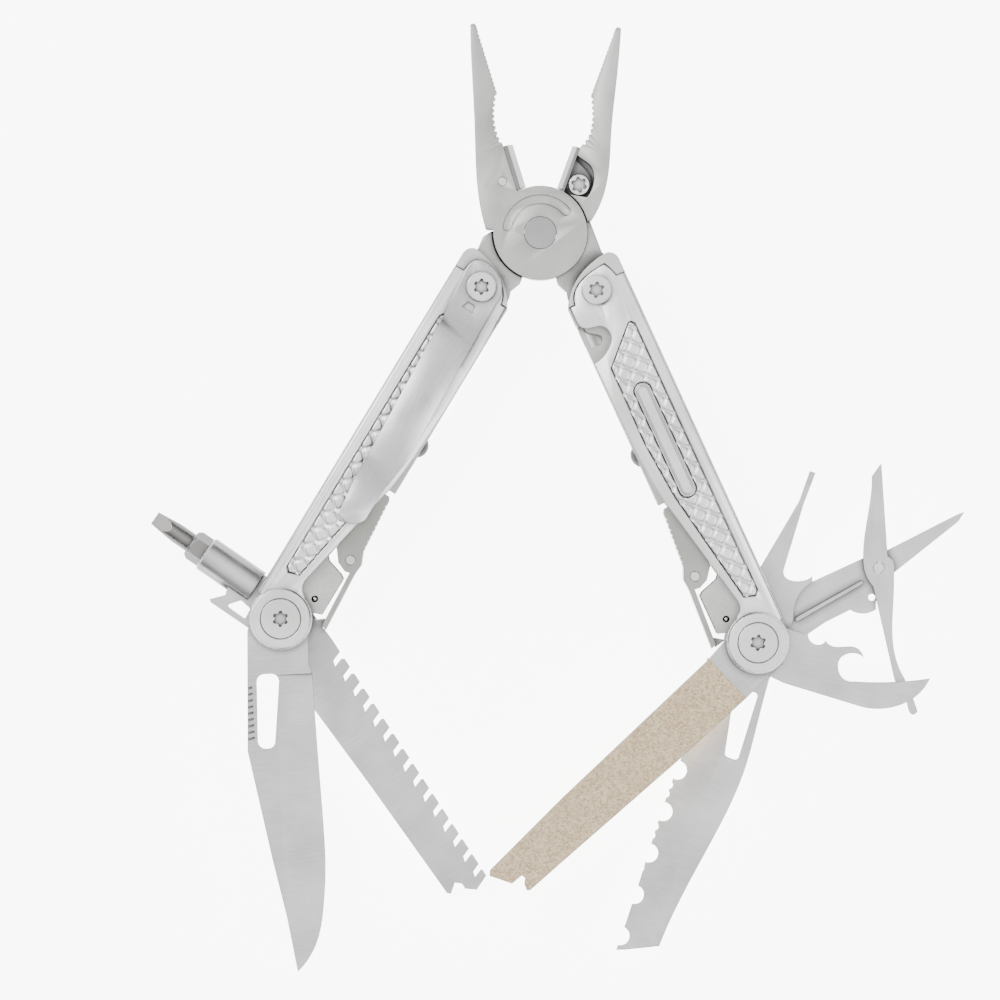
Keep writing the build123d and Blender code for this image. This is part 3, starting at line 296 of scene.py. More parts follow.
@dataclass(frozen=True)
class SteelFinish(Finish):
    """Worked stainless steel.

    Attributes:
        colour: Middle tone of the metal.
        roughness: Middle roughness.
        grain: How it was worked.
        turn: Direction of brushing, in degrees, or 0.
        centre: Centre of turning marks, in metres.
        relief: Depth of the grain, in metres.
        edge: Radius of the softened edges, in metres.
        wall: Strength of the painted shade on steep side walls, from 0 to 1.
        painted_corner_shade: Strength of the painted shade in corners, from 0 to 1.
        painted_shade_reach: How far from a corner the painted shade reaches, in metres.
        painted_shade_tone: Colour of the painted corner shade.
        painted_wall_shade_tone: Colour of the painted shade on steep side walls.
        painted_highlight_tone: Colour of the painted highlight on the softened edges.
        edge_highlight_strength: Strength of the painted highlight on the softened edges, from 0 to 1.
        darkest: Darkest tone of the metal, as a share of its colour.
        lightest: Lightest tone of the metal, as a share of its colour.
        cloud_scale: Fineness of the broad cloudy tones, in waves to a metre.
    """

    colour: Colour = (0.62, 0.62, 0.61)
    roughness: float = 0.36
    grain: Grain = Grain.BLASTED
    turn: float = 0.0
    centre: Point = (0.0, 0.0)
    relief: float = 0.000012
    edge: float = 0.0003
    wall: float = 0.88
    painted_corner_shade: float = 0.95
    painted_shade_reach: float = 0.0018
    painted_shade_tone: Colour = (0.06, 0.06, 0.062)
    painted_wall_shade_tone: Colour = (0.05, 0.055, 0.056)
    painted_highlight_tone: Colour = (0.93, 0.93, 0.92)
    edge_highlight_strength: float = 0.55
    darkest: float = 0.78
    lightest: float = 1.16
    cloud_scale: float = 85.0

    def dress(self, wiring: Wiring, shader: bpy.types.Node) -> None:
        """Fill in colour, roughness and grain, with a painted highlight on the softened edges and painted
        shade on steep walls and in corners.

        Args:
            wiring: Writer on the material's tree.
            shader: The Principled node.
        """
        coords = wiring.object_coordinates()
        grain = self.grain_value(wiring, coords)
        cloud = wiring.noise(coords, self.cloud_scale, detail=4.0)
        soft = wiring.node("ShaderNodeBevel", samples=4)
        wiring.feed(soft.inputs["Radius"], self.edge)
        soft_normal = soft.outputs[0]
        face_normal = wiring.node("ShaderNodeNewGeometry").outputs["Normal"]
        cosine = wiring.vector("DOT_PRODUCT", soft_normal, face_normal, output="Value")
        # Painted highlight: where the rounded normal bends away from the face's own, the colour is mixed
        # towards a bright tone; the same share also lowers the roughness.
        edge_highlight_and_polish = wiring.remap(cosine, 0.995, 0.86, 0.0, 1.0)
        tone = wiring.math("ADD", wiring.remap(cloud, 0.3, 0.7, -0.5, 0.5),
                           wiring.remap(grain, 0.2, 0.8, -0.5, 0.5))
        dark = tuple(part * self.darkest for part in self.colour)
        light = tuple(min(1.0, part * self.lightest) for part in self.colour)
        metal = wiring.mix(wiring.remap(tone, -0.8, 0.8, 0.0, 1.0), dark, light)
        edged = wiring.mix(wiring.math("MULTIPLY", edge_highlight_and_polish, self.edge_highlight_strength), metal, self.painted_highlight_tone)
        # Painted shade: the steeper the rounded normal, the more the colour is mixed towards a dark tone.
        upright = wiring.node("ShaderNodeSeparateXYZ")
        wiring.feed(upright.inputs[0], soft_normal)
        steep = wiring.math("ABSOLUTE", upright.outputs[2])
        with_wall_shade = wiring.mix(wiring.remap(steep, 0.93, 0.55, 0.0, self.wall), edged, self.painted_wall_shade_tone)
        wiring.feed(shader.inputs["Base Color"], self.with_painted_corner_shade(wiring, with_wall_shade))
        shader.inputs["Metallic"].default_value = 1.0
        rough = wiring.math("ADD", wiring.remap(tone, -0.8, 0.8, -0.06, 0.06), self.roughness)
        polish = wiring.math("MULTIPLY", edge_highlight_and_polish, 0.08)
        wiring.feed(shader.inputs["Roughness"], wiring.math("SUBTRACT", rough, polish))
        wiring.bump(shader, grain, self.relief, strength=0.6, normal=soft_normal)

    def with_painted_corner_shade(self, wiring: Wiring, colour: bpy.types.NodeSocket) -> bpy.types.NodeSocket:
        """Paint shade into the colour in corners and recesses, darker where the surface is more enclosed.

        Args:
            wiring: Writer on the material's tree.
            colour: Clean colour.

        Returns:
            Socket of the colour with painted corner shade.
        """
        # Painted shade: ambient occlusion darkens the colour in corners, in recesses and between parts.
        corner = wiring.node("ShaderNodeAmbientOcclusion", samples=4)
        wiring.feed(corner.inputs["Distance"], self.painted_shade_reach)
        painted_shade_share = wiring.remap(corner.outputs["AO"], 0.45, 0.97, self.painted_corner_shade, 0.0)
        return wiring.mix(painted_shade_share, colour, self.painted_shade_tone)

    def grain_value(self, wiring: Wiring, coords: bpy.types.NodeSocket) -> bpy.types.NodeSocket:
        """Value of the worked grain, about 0.5 in the middle.

        Args:
            wiring: Writer on the material's tree.
            coords: Object coordinates.

        Returns:
            Socket of the grain's height.
        """
        scale = GRAIN_SCALE[self.grain]
        if self.grain is Grain.TURNED:
            place = wiring.node("ShaderNodeMapping")
            wiring.feed(place.inputs["Location"], (-self.centre[0], -self.centre[1], 0.0))
            wiring.feed(place.inputs["Vector"], coords)
            flat = wiring.vector("MULTIPLY", place.outputs[0], (1.0, 1.0, 0.0))
            rings = wiring.node("ShaderNodeCombineXYZ")
            wiring.feed(rings.inputs[0], wiring.vector("LENGTH", flat, output="Value"))
            return wiring.noise(rings.outputs[0], scale, GRAIN_DETAIL)
        if self.grain is Grain.BRUSHED:
            place = wiring.node("ShaderNodeMapping")
            wiring.feed(place.inputs["Rotation"], (0.0, 0.0, math.radians(-self.turn)))
            wiring.feed(place.inputs["Vector"], coords)
            lines = wiring.vector("MULTIPLY", place.outputs[0], (BRUSH_STRETCH, 1.0, 1.0))
            return wiring.noise(lines, scale, GRAIN_DETAIL)
        return wiring.noise(coords, scale, GRAIN_DETAIL, roughness=0.62)


@dataclass(frozen=True)
class GritFinish(Finish):
    """Tan bonded diamond grit.

    Attributes:
        dark: Bond colour between the grains.
        light: Colour of the grains.
        scale: Fineness of the speckle, in grains to a metre.
        cloud_scale: Fineness of the broad tones, in waves to a metre.
        relief: Depth of the speckle, in metres.
    """

    dark: Colour = (0.40, 0.28, 0.15)
    light: Colour = (0.86, 0.70, 0.48)
    scale: float = 2600.0
    cloud_scale: float = 160.0
    relief: float = 0.0001

    def dress(self, wiring: Wiring, shader: bpy.types.Node) -> None:
        """Speckle the bond with grains of many tones.

        Args:
            wiring: Writer on the material's tree.
            shader: The Principled node.
        """
        coords = wiring.object_coordinates()
        grains = wiring.node("ShaderNodeTexVoronoi")
        wiring.feed(grains.inputs["Vector"], coords)
        wiring.feed(grains.inputs["Scale"], self.scale)
        tone = wiring.node("ShaderNodeSeparateColor")
        wiring.feed(tone.inputs[0], grains.outputs["Color"])
        cloud = wiring.noise(coords, self.cloud_scale, detail=5.0)
        share = wiring.math("ADD", wiring.math("MULTIPLY", tone.outputs[0], 0.75),
                            wiring.math("MULTIPLY", cloud, 0.35))
        wiring.feed(shader.inputs["Base Color"], wiring.mix(share, self.dark, self.light))
        shader.inputs["Metallic"].default_value = 0.15
        wiring.feed(shader.inputs["Roughness"], wiring.remap(tone.outputs[1], 0.0, 1.0, 0.5, 0.95))
        height = wiring.math("SUBTRACT", 1.0, grains.outputs["Distance"])
        wiring.bump(shader, height, self.relief, strength=0.9)


@dataclass(frozen=True)
class RubberFinish(Finish):
    """Black moulded rubber.

    Attributes:
        colour: Colour of the clean rubber.
        dust: Colour of the dust on it.
        scale: Fineness of the dust, in waves to a metre.
        relief: Depth of the pebbled skin, in metres.
    """

    colour: Colour = (0.025, 0.026, 0.028)
    dust: Colour = (0.12, 0.12, 0.12)
    scale: float = 2400.0
    relief: float = 0.00002

    def dress(self, wiring: Wiring, shader: bpy.types.Node) -> None:
        """Give a faintly dusty, pebbled black.

        Args:
            wiring: Writer on the material's tree.
            shader: The Principled node.
        """
        pebbles = wiring.noise(wiring.object_coordinates(), self.scale, detail=4.0)
        dusty = wiring.remap(pebbles, 0.4, 0.75, 0.0, 0.5)
        wiring.feed(shader.inputs["Base Color"], wiring.mix(dusty, self.colour, self.dust))
        wiring.feed(shader.inputs["Roughness"], wiring.remap(pebbles, 0.2, 0.8, 0.5, 0.8))
        wiring.bump(shader, pebbles, self.relief)


@dataclass(frozen=True)
class TableFinish(Finish):
    """Matt white light table.

    Attributes:
        glow: Strength of its own light.
        dull: Colour of its duller parts.
        bright: Colour of its brighter parts.
    """

    glow: float = 7.5
    dull: Colour = (0.97, 0.97, 0.97)
    bright: Colour = (1.0, 1.0, 1.0)

    def dress(self, wiring: Wiring, shader: bpy.types.Node) -> None:
        """Give a nearly even white.

        Args:
            wiring: Writer on the material's tree.
            shader: The Principled node.
        """
        colour = wiring.mix(wiring.noise(wiring.object_coordinates(), 3.0), self.dull, self.bright)
        wiring.feed(shader.inputs["Base Color"], colour)
        shader.inputs["Roughness"].default_value = 0.9
        wiring.feed(shader.inputs["Emission Color"], colour)
        shader.inputs["Emission Strength"].default_value = self.glow


@dataclass(frozen=True)
class HandlePlace:
    """Where a handle lies: its tool axle, its head pivot and which way its mouth faces.

    Attributes:
        axle: Centre of the tool axle, at mid-height.
        head: Centre of the head pivot, at mid-height.
        mirrored: True for the left handle.
    """

    axle: Vector
    head: Vector
    mirrored: bool

    @property
    def direction(self) -> float:
        """Direction from the tool axle to the head pivot, in degrees."""
        run = self.head - self.axle
        return math.degrees(math.atan2(run.y, run.x))

    def at(self, x: float, y: float, z: float) -> Vector:
        """Point of the handle's own frame, in the row frame.

        Args:
            x: Millimetres from the handle's middle line towards its mouth.
            y: Millimetres from the tool axle towards the head.
            z: Millimetres above the mid-plane.

        Returns:
            The point, in metres.
        """
        along = (self.head - self.axle).normalized()
        across = Vector((along.y, -along.x, 0.0)) * (-1.0 if self.mirrored else 1.0)
        return self.axle + along * y * MM + across * x * MM + Vector((0.0, 0.0, z * MM))


def dress_in(owner: bpy.types.Object, finish: Finish) -> None:
    """Give an object one finish and no other.

    Args:
        owner: The object.
        finish: The finish.
    """
    owner.data.materials.clear()
    owner.data.materials.append(finish.material())
    LOG.info("%s wears %s", owner.name, finish.name)


def placed(name: str, data: bpy.types.ID) -> bpy.types.Object:
    """Put a mesh, a light or a camera in the scene, at the origin.

    Args:
        name: Name of the object.
        data: What the object shows.

    Returns:
        The object.
    """
    owner = bpy.data.objects.new(name, data)
    bpy.context.scene.collection.objects.link(owner)
    return owner


def settled(made: bmesh.types.BMesh, name: str) -> bpy.types.Object:
    """Turn a working mesh into an object, and free it.

    Args:
        made: The working mesh.
        name: Name of the object and of its mesh.

    Returns:
        The object.
    """
    mesh = bpy.data.meshes.new(name)
    made.to_mesh(mesh)
    made.free()
    return placed(name, mesh)


def inside(point: Point, outline: Sequence[Point]) -> float:
    """Signed distance from a point to an outline, positive inside.

    Args:
        point: The point.
        outline: Corners of a closed outline.

    Returns:
        Distance, in the outline's units.
    """
    best = 1e9
    within = False
    px, py = point
    for (ax, ay), (bx, by) in zip(outline, (*outline[1:], outline[0])):
        dx, dy = bx - ax, by - ay
        t = max(0.0, min(1.0, ((px - ax) * dx + (py - ay) * dy) / (dx * dx + dy * dy)))
        best = min(best, math.hypot(px - ax - t * dx, py - ay - t * dy))
        if (ay > py) != (by > py) and px < ax + (py - ay) * dx / dy:
            within = not within
    return best if within else -best


def oblong_distance(point: Point, low: float, high: float, half: float) -> float:
    """Distance from a point to an upright oblong with round ends, negative inside.

    Args:
        point: The point.
        low: Height of the lower end.
        high: Height of the upper end.
        half: Half width.

    Returns:
        Distance, in the same units.
    """
    y = max(low + half, min(high - half, point[1]))
    return math.hypot(point[0], point[1] - y) - half


def from_modifier(owner: bpy.types.Object, name: str) -> bpy.types.Object:
    """Turn an object's evaluated modifiers into a plain mesh object.

    Args:
        owner: Object with modifiers; it is removed.
        name: Name of the result.

    Returns:
        The plain object, without modifiers.
    """
    bpy.context.view_layer.update()
    graph = bpy.context.evaluated_depsgraph_get()
    mesh = bpy.data.meshes.new_from_object(
        owner.evaluated_get(graph), preserve_all_data_layers=True, depsgraph=graph)
    mesh.name = name
    bpy.data.objects.remove(owner)
    return placed(name, mesh)


@dataclass
class NodeShop:
    """A geometry tree under construction, with named inputs and a material at its end.

    Attributes:
        name: Name of the tree.
        sizes: Starting values of its inputs, by name.
    """

    name: str
    sizes: dict[str, float] = field(default_factory=dict)

    def __post_init__(self) -> None:
        """Open the tree and its sockets."""
        self.tree = bpy.data.node_groups.new(self.name, "GeometryNodeTree")
        for way in ("INPUT", "OUTPUT"):
            self.tree.interface.new_socket("Geometry", in_out=way, socket_type="NodeSocketGeometry")
        for size, value in self.sizes.items():
            socket = self.tree.interface.new_socket(size, in_out="INPUT", socket_type="NodeSocketFloat")
            socket.default_value = value
        self.wiring = Wiring(self.tree)
        self.start = self.wiring.node("NodeGroupInput")
        self.end = self.wiring.node("NodeGroupOutput")

    def close(self, geometry: bpy.types.NodeSocket, finish: Finish) -> None:
        """End the tree with realised instances and the finish.

        Args:
            geometry: Last geometry socket.
            finish: Finish of everything made.
        """
        real = self.wiring.node("GeometryNodeRealizeInstances")
        dressed = self.wiring.node("GeometryNodeSetMaterial")
        self.wiring.feed(real.inputs[0], geometry)
        self.wiring.feed(dressed.inputs["Geometry"], real.outputs[0])
        dressed.inputs["Material"].default_value = finish.material()
        self.wiring.feed(self.end.inputs[0], dressed.outputs[0])

    def apply(self, owner: bpy.types.Object, name: str, finish: Finish,
              **sizes: float) -> bpy.types.Object:
        """Run the tree on an object and keep the plain result.

        Args:
            owner: Object to work on.
            name: Name of the result.
            finish: Finish kept as the only material.
            sizes: Values for the tree's inputs, by name with underscores for spaces.

        Returns:
            The plain mesh object.
        """
        modifier = owner.modifiers.new(self.name, "NODES")
        modifier.node_group = self.tree
        for socket in self.tree.interface.items_tree:
            key = socket.name.replace(" ", "_")
            if socket.in_out == "INPUT" and key in sizes:
                modifier[socket.identifier] = sizes[key]
        made = from_modifier(owner, name)
        dress_in(made, finish)
        return made


def pillow_tree(finish: Finish) -> NodeShop:
    """Tree that raises a flat sheet into square pillows on a diagonal grid.

    Args:
        finish: Finish of the pillows.

    Returns:
        The finished tree.
    """
    squareness = 4.0
    crown_share = 0.18
    steps_before_zero = 100.0
    shop = NodeShop("Pillows", {"Pitch": 3.05, "Rise": 0.3, "Pit": 0.1, "Edge Width": 0.5})
    w = shop.wiring
    spot = w.node("GeometryNodeInputNamedAttribute", data_type="FLOAT_VECTOR")
    w.feed(spot.inputs["Name"], "panel_spot")
    parts = w.node("ShaderNodeSeparateXYZ")
    w.feed(parts.inputs[0], spot.outputs["Attribute"])
    turned = (w.math("ADD", parts.outputs[0], parts.outputs[1]),
              w.math("SUBTRACT", parts.outputs[1], parts.outputs[0]))
    step = w.math("MULTIPLY", shop.start.outputs["Pitch"], math.sqrt(2.0))
    powers = []
    for line in turned:
        steps = w.math("ADD", w.math("DIVIDE", line, step), steps_before_zero)
        off = w.math("ABSOLUTE", w.math("SUBTRACT", w.math("MULTIPLY", w.math("FRACT", steps), 2.0), 1.0))
        powers.append(w.math("POWER", off, squareness))
    reach = w.math("POWER", w.math("ADD", powers[0], powers[1]), 1.0 / squareness)
    bow = w.math("SUBTRACT", 1.0, w.math("MULTIPLY", reach, reach))
    crown = w.math("MULTIPLY", bow, crown_share)
    shoulder = w.remap(reach, 0.7, 1.0, 1.0 - crown_share, 0.0, smooth=True)
    pillow = w.math("ADD", shoulder, crown)
    cross = w.remap(reach, 0.98, 1.15, 0.0, 1.0, smooth=True)
    pit = w.math("MULTIPLY", cross, shop.start.outputs["Pit"])
    height = w.math("SUBTRACT", w.math("MULTIPLY", pillow, shop.start.outputs["Rise"]), pit)
    fade = w.remap(parts.outputs[2], 0.0, shop.start.outputs["Edge Width"], 0.0, 1.0, smooth=True)
    lifted = w.math("MULTIPLY", w.math("MULTIPLY", height, fade), MM)
    side = w.node("GeometryNodeInputNamedAttribute", data_type="FLOAT")
    w.feed(side.inputs["Name"], "panel_side")
    move = w.node("ShaderNodeCombineXYZ")
    w.feed(move.inputs[2], w.math("MULTIPLY", lifted, side.outputs["Attribute"]))
    moved = w.node("GeometryNodeSetPosition")
    w.feed(moved.inputs["Geometry"], shop.start.outputs["Geometry"])
    w.feed(moved.inputs["Offset"], move.outputs[0])
    shop.close(moved.outputs[0], finish)
    return shop


def bead_tree(finish: Finish) -> NodeShop:
    """Tree that sweeps a round bead along a line.

    Args:
        finish: Finish of the bead.

    Returns:
        The finished tree.
    """
    shop = NodeShop("Bead", {"Bead Radius": 0.00025})
    w = shop.wiring
    path = w.node("GeometryNodeMeshToCurve")
    w.feed(path.inputs[0], shop.start.outputs["Geometry"])
    ring = w.node("GeometryNodeCurvePrimitiveCircle")
    w.feed(ring.inputs["Resolution"], 8)
    w.feed(ring.inputs["Radius"], shop.start.outputs["Bead Radius"])
    sweep = w.node("GeometryNodeCurveToMesh")
    w.feed(sweep.inputs["Curve"], path.outputs[0])
    w.feed(sweep.inputs["Profile Curve"], ring.outputs[0])
    shop.close(sweep.outputs[0], finish)
    return shop


def grain_tree(finish: Finish) -> NodeShop:
    """Tree that scatters sharp grains over a sheet.

    Args:
        finish: Finish of the grains.

    Returns:
        The finished tree.
    """
    seed = 7
    full_turn = 6.28
    grain_range = (0.5, 1.35)
    shop = NodeShop("Grains", {"Density": 5.0e6, "Grain Size": 0.000035})
    w = shop.wiring
    spread = w.node("GeometryNodeDistributePointsOnFaces")
    w.feed(spread.inputs["Mesh"], shop.start.outputs["Geometry"])
    w.feed(spread.inputs["Density"], shop.start.outputs["Density"])
    spread.inputs["Seed"].default_value = seed
    stone = w.node("GeometryNodeMeshIcoSphere")
    w.feed(stone.inputs["Radius"], shop.start.outputs["Grain Size"])
    w.feed(stone.inputs["Subdivisions"], 1)
    turn = w.node("FunctionNodeRandomValue", data_type="FLOAT_VECTOR")
    turn.inputs[1].default_value = (full_turn, full_turn, full_turn)
    size = w.node("FunctionNodeRandomValue", data_type="FLOAT")
    size.inputs[2].default_value, size.inputs[3].default_value = grain_range
    put = w.node("GeometryNodeInstanceOnPoints")
    w.feed(put.inputs["Points"], spread.outputs["Points"])
    w.feed(put.inputs["Instance"], stone.outputs["Mesh"])
    w.feed(put.inputs["Rotation"], turn.outputs[0])
    w.feed(put.inputs["Scale"], size.outputs[1])
    shop.close(put.outputs[0], finish)
    return shop


@dataclass
class GripPanels:
    """Pillowed grip panels sunk in a handle's two scales.

    Attributes:
        place: Where the handle lies.
        body: Body the handle rides on.
        badged: Whether a blank badge stands in the panel.
        finish: Finish of the panels.
        floor_z: Height of the panel's floor from the mid-plane, in millimetres.
        spacing: Distance between sheet points, in millimetres.
        grid_low: Lowest corner of the grid that the sheet is cut from, in millimetres.
        grid_span: Width and height of that grid, in millimetres.
        overlap: How far the sheet runs into the panel's wall, in millimetres.
        thickness: Thickness of the panel, in metres.
        outline: Corners of the panel, in millimetres.
        badge_low: Height of the badge's lower end, in millimetres.
        badge_high: Height of the badge's upper end, in millimetres.
        badge_half: Half width of the badge, in millimetres.
    """

    place: HandlePlace
    body: str
    badged: bool
    finish: Finish
    floor_z: float = 8.915
    spacing: float = 0.26
    grid_low: Point = (-5.0, 9.6)
    grid_span: Point = (10.4, 69.8)
    overlap: float = 0.05
    thickness: float = 0.00012
    outline: tuple[Point, ...] = (
        (4.2, 79.7), (5.0, 78.8), (5.1, 11.0), (4.1, 9.9), (1.3, 10.8),
        (-3.6, 38.5), (-4.75, 52.4), (-4.6, 71.6), (3.4, 79.6),
    )
    badge_low: float = 37.2
    badge_high: float = 65.6
    badge_half: float = 1.9

    def room(self, spot: Point) -> float:
        """Distance from a spot to the nearest wall of the panel.

        Args:
            spot: Point in the handle's frame, in millimetres.

        Returns:
            Millimetres, negative outside.
        """
        wall = inside(spot, self.outline)
        if self.badged:
            wall = min(wall, oblong_distance(spot, self.badge_low, self.badge_high, self.badge_half))
        return wall

    def sheet(self, side: int) -> bpy.types.Object:
        """Flat closed sheet over the panel, with each point's spot kept on it.

        Args:
            side: 1 for the front, -1 for the rear.

        Returns:
            The sheet.
        """
        made = bmesh.new()
        columns, rows = (int(span / self.spacing) + 3 for span in self.grid_span)
        spots: list[tuple[float, float, float]] = []
        grid: dict[tuple[int, int], bmesh.types.BMVert] = {}
        for j in range(rows):
            for i in range(columns):
                spot = (self.grid_low[0] + i * self.spacing, self.grid_low[1] + j * self.spacing)
                wall = self.room(spot)
                if wall > -self.overlap:
                    grid[i, j] = made.verts.new(self.place.at(*spot, side * self.floor_z))
                    spots.append((*spot, wall))
        for (i, j), corner in grid.items():
            ring = [corner, grid.get((i + 1, j)), grid.get((i + 1, j + 1)), grid.get((i, j + 1))]
            if all(ring):
                face = made.faces.new(ring)
                face.normal_update()
                if face.normal.z * side < 0:
                    face.normal_flip()
                face.smooth = True
        owner = settled(made, "sheet")
        place = owner.data.attributes.new("panel_spot", "FLOAT_VECTOR", "POINT")
        place.data.foreach_set("vector", [value for spot in spots for value in spot])
        facing = owner.data.attributes.new("panel_side", "FLOAT", "POINT")
        facing.data.foreach_set("value", [float(side)] * len(spots))
        return owner

    def build(self, shop: NodeShop) -> list[bpy.types.Object]:
        """Make both panels of the handle.

        Args:
            shop: The pillow tree.

        Returns:
            One plain mesh per face.
        """
        made = []
        for side, label in ((1, "front"), (-1, "rear")):
            panel = shop.apply(self.sheet(side), f"{self.body}_{label}_grip_panel", self.finish)
            close_skin(panel, Vector((0.0, 0.0, -side * self.thickness)))
            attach(panel, self.body)
            LOG.info("%s has %d points", panel.name, len(panel.data.vertices))
            made.append(panel)
        return made


def close_skin(owner: bpy.types.Object, drop: Vector) -> None:
    """Give an open sheet a back and side walls, so that it is a closed thin body.

    Args:
        owner: Object whose mesh is the sheet.
        drop: Move from the sheet to its back.
    """
    made = bmesh.new()
    made.from_mesh(owner.data)
    front = list(made.faces)
    back = bmesh.ops.duplicate(made, geom=list(made.verts) + list(made.edges) + front)
    twins = {g for g in back["geom"] if isinstance(g, bmesh.types.BMVert)}
    bmesh.ops.translate(made, verts=list(twins), vec=drop)
    bmesh.ops.reverse_faces(made, faces=[g for g in back["geom"] if isinstance(g, bmesh.types.BMFace)])
    pairs = back["vert_map"]
    rims = [edge for edge in made.edges if edge.is_boundary and not twins.intersection(edge.verts)]
    for edge in rims:
        a, b = edge.verts
        first, second = (a, b) if edge.link_loops[0].vert is a else (b, a)
        made.faces.new((second, first, pairs[first], pairs[second]))
    made.normal_update()
    made.to_mesh(owner.data)
    made.free()


def line_object(points: Sequence[Vector], closed: bool) -> bpy.types.Object:
    """Mesh of edges through points.

    Args:
        points: Points in order.
        closed: Whether the last joins the first.

    Returns:
        The object.
    """
    count = len(points)
    edges = [(i, (i + 1) % count) for i in range(count if closed else count - 1)]
    mesh = bpy.data.meshes.new("line")
    mesh.from_pydata([tuple(p) for p in points], edges, [])
    return placed("line", mesh)


@dataclass
class BadgeRims:
    """Raised bead around each blank badge of a handle.

    Attributes:
        place: Where the handle lies.
        body: Body the handle rides on.
        finish: Finish of the bead.
        low: Height of the rim's lower end, in millimetres.
        high: Height of the rim's upper end, in millimetres.
        half: Half width of the rim, in millimetres.
        top_z: Height of the bead's middle from the mid-plane, in millimetres.
        steps: Points round the rim.
        bead_radius: Radius of the bead, in metres.
    """

    place: HandlePlace
    body: str
    finish: Finish
    low: float = 37.75
    high: float = 65.05
    half: float = 1.35
    top_z: float = 9.25
    steps: int = 48
    bead_radius: float = 0.00022

    def build(self, shop: NodeShop) -> bpy.types.Object:
        """Make the beads of both faces as one mesh.

        Args:
            shop: The bead tree.

        Returns:
            The plain mesh object.
        """
        owners = []
        for side in (1, -1):
            spots = []
            for k in range(self.steps):
                angle = math.tau * k / self.steps
                end = self.high - self.half if math.sin(angle) >= 0 else self.low + self.half
                across, along = self.half * math.cos(angle), end + self.half * math.sin(angle)
                spots.append(self.place.at(across, along, side * self.top_z))
            rim = line_object(spots, True)
            owners.append(shop.apply(rim, "bead", self.finish, Bead_Radius=self.bead_radius))
        return joined(owners, f"{self.body}_badge_rims", self.body)


def joined(owners: list[bpy.types.Object], name: str, body: str) -> bpy.types.Object:
    """Join plain objects into one piece that rides on a body.

    Args:
        owners: Objects to join; they are removed.
        name: Name of the piece.
        body: Body it rides on.

    Returns:
        The piece.
    """
    made = bmesh.new()
    finish = owners[0].data.materials[0]
    for owner in owners:
        made.from_mesh(owner.data)
        bpy.data.objects.remove(owner)
    piece = settled(made, name)
    piece.data.shade_smooth()
    piece.data.materials.append(finish)
    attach(piece, body)
    LOG.info("%s has %d faces", name, len(piece.data.polygons))
    return piece


@dataclass
class DiamondFace:
    """Grains that stand on the coated faces of the file.

    Attributes:
        finish: Finish of the grains.
        node: Packed coat that the grains stand on.
        body: Body they ride on.
        density: Grains to a square metre.
        merge: Distance within which the coat's points are merged, in metres.
    """

    frame: dict
    finish: Finish
    node: str = "diamond_grit"
    body: str = "file"
    density: float = 5.6e6
    merge: float = 1e-6

    def build(self, shop: NodeShop) -> bpy.types.Object:
        """Scatter the grains over the coat's broad faces.

        Args:
            shop: The grain tree.

        Returns:
            The grains.
        """
        made = bmesh.new()
        made.from_mesh(self.frame["nodes"][self.node].data)
        bmesh.ops.remove_doubles(made, verts=made.verts, dist=self.merge)
        levels = [corner.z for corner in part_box(self.node)]
        inner = [face for face in made.faces
                 if min(abs(face.calc_center_median().z - level) for level in levels) > self.merge]
        bmesh.ops.delete(made, geom=inner, context="FACES")
        coat = settled(made, "coat")
        grains = shop.apply(coat, "diamond_grains", self.finish, Density=self.density)
        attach(grains, self.body)
        LOG.info("diamond_grains has %d faces", len(grains.data.polygons))
        return grains


@dataclass
class SoftenedCopies:
    """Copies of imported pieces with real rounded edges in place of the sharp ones.

    Attributes:
        finishes: Finish of each piece.
        widths: Width of the rounding of each piece, in metres.
        merge: Distance within which a piece's points are merged, in metres.
        flat_angle: Bend below which neighbouring faces become one, in degrees.
        edge_angle: Bend above which an edge is rounded, in degrees.
        crease_angle: Bend above which an edge stays sharp, in degrees.
    """

    frame: dict
    finishes: dict[str, Finish]
    widths: dict[str, float]
    merge: float = 2e-6
    flat_angle: float = 0.8
    edge_angle: float = 32.0
    crease_angle: float = 28.0

    def build(self) -> list[bpy.types.Object]:
        """Copy, merge, round and dress each piece.

        Returns:
            The copies.
        """
        copies = []
        for node, width in self.widths.items():
            source = self.frame["nodes"][node]
            made = bmesh.new()
            made.from_mesh(source.data)
            bmesh.ops.remove_doubles(made, verts=made.verts, dist=self.merge)
            bmesh.ops.dissolve_limit(made, angle_limit=math.radians(self.flat_angle),
                                     verts=made.verts, edges=made.edges)
            owner = settled(made, node + "_soft")
            rounding = owner.modifiers.new("Rounding", "BEVEL")
            rounding.width = width
            rounding.segments = 2
            rounding.limit_method = "ANGLE"
            rounding.angle_limit = math.radians(self.edge_angle)
            rounding.use_clamp_overlap = True
            rounding.harden_normals = False
            copy = from_modifier(owner, node + "_soft")
            copy.data.shade_smooth()
            copy.data.set_sharp_from_angle(angle=math.radians(self.crease_angle))
            dress_in(copy, self.finishes[node])
            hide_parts(node)
            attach(copy, source["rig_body"])
            LOG.info("%s has %d faces", copy.name, len(copy.data.polygons))
            copies.append(copy)
        return copies


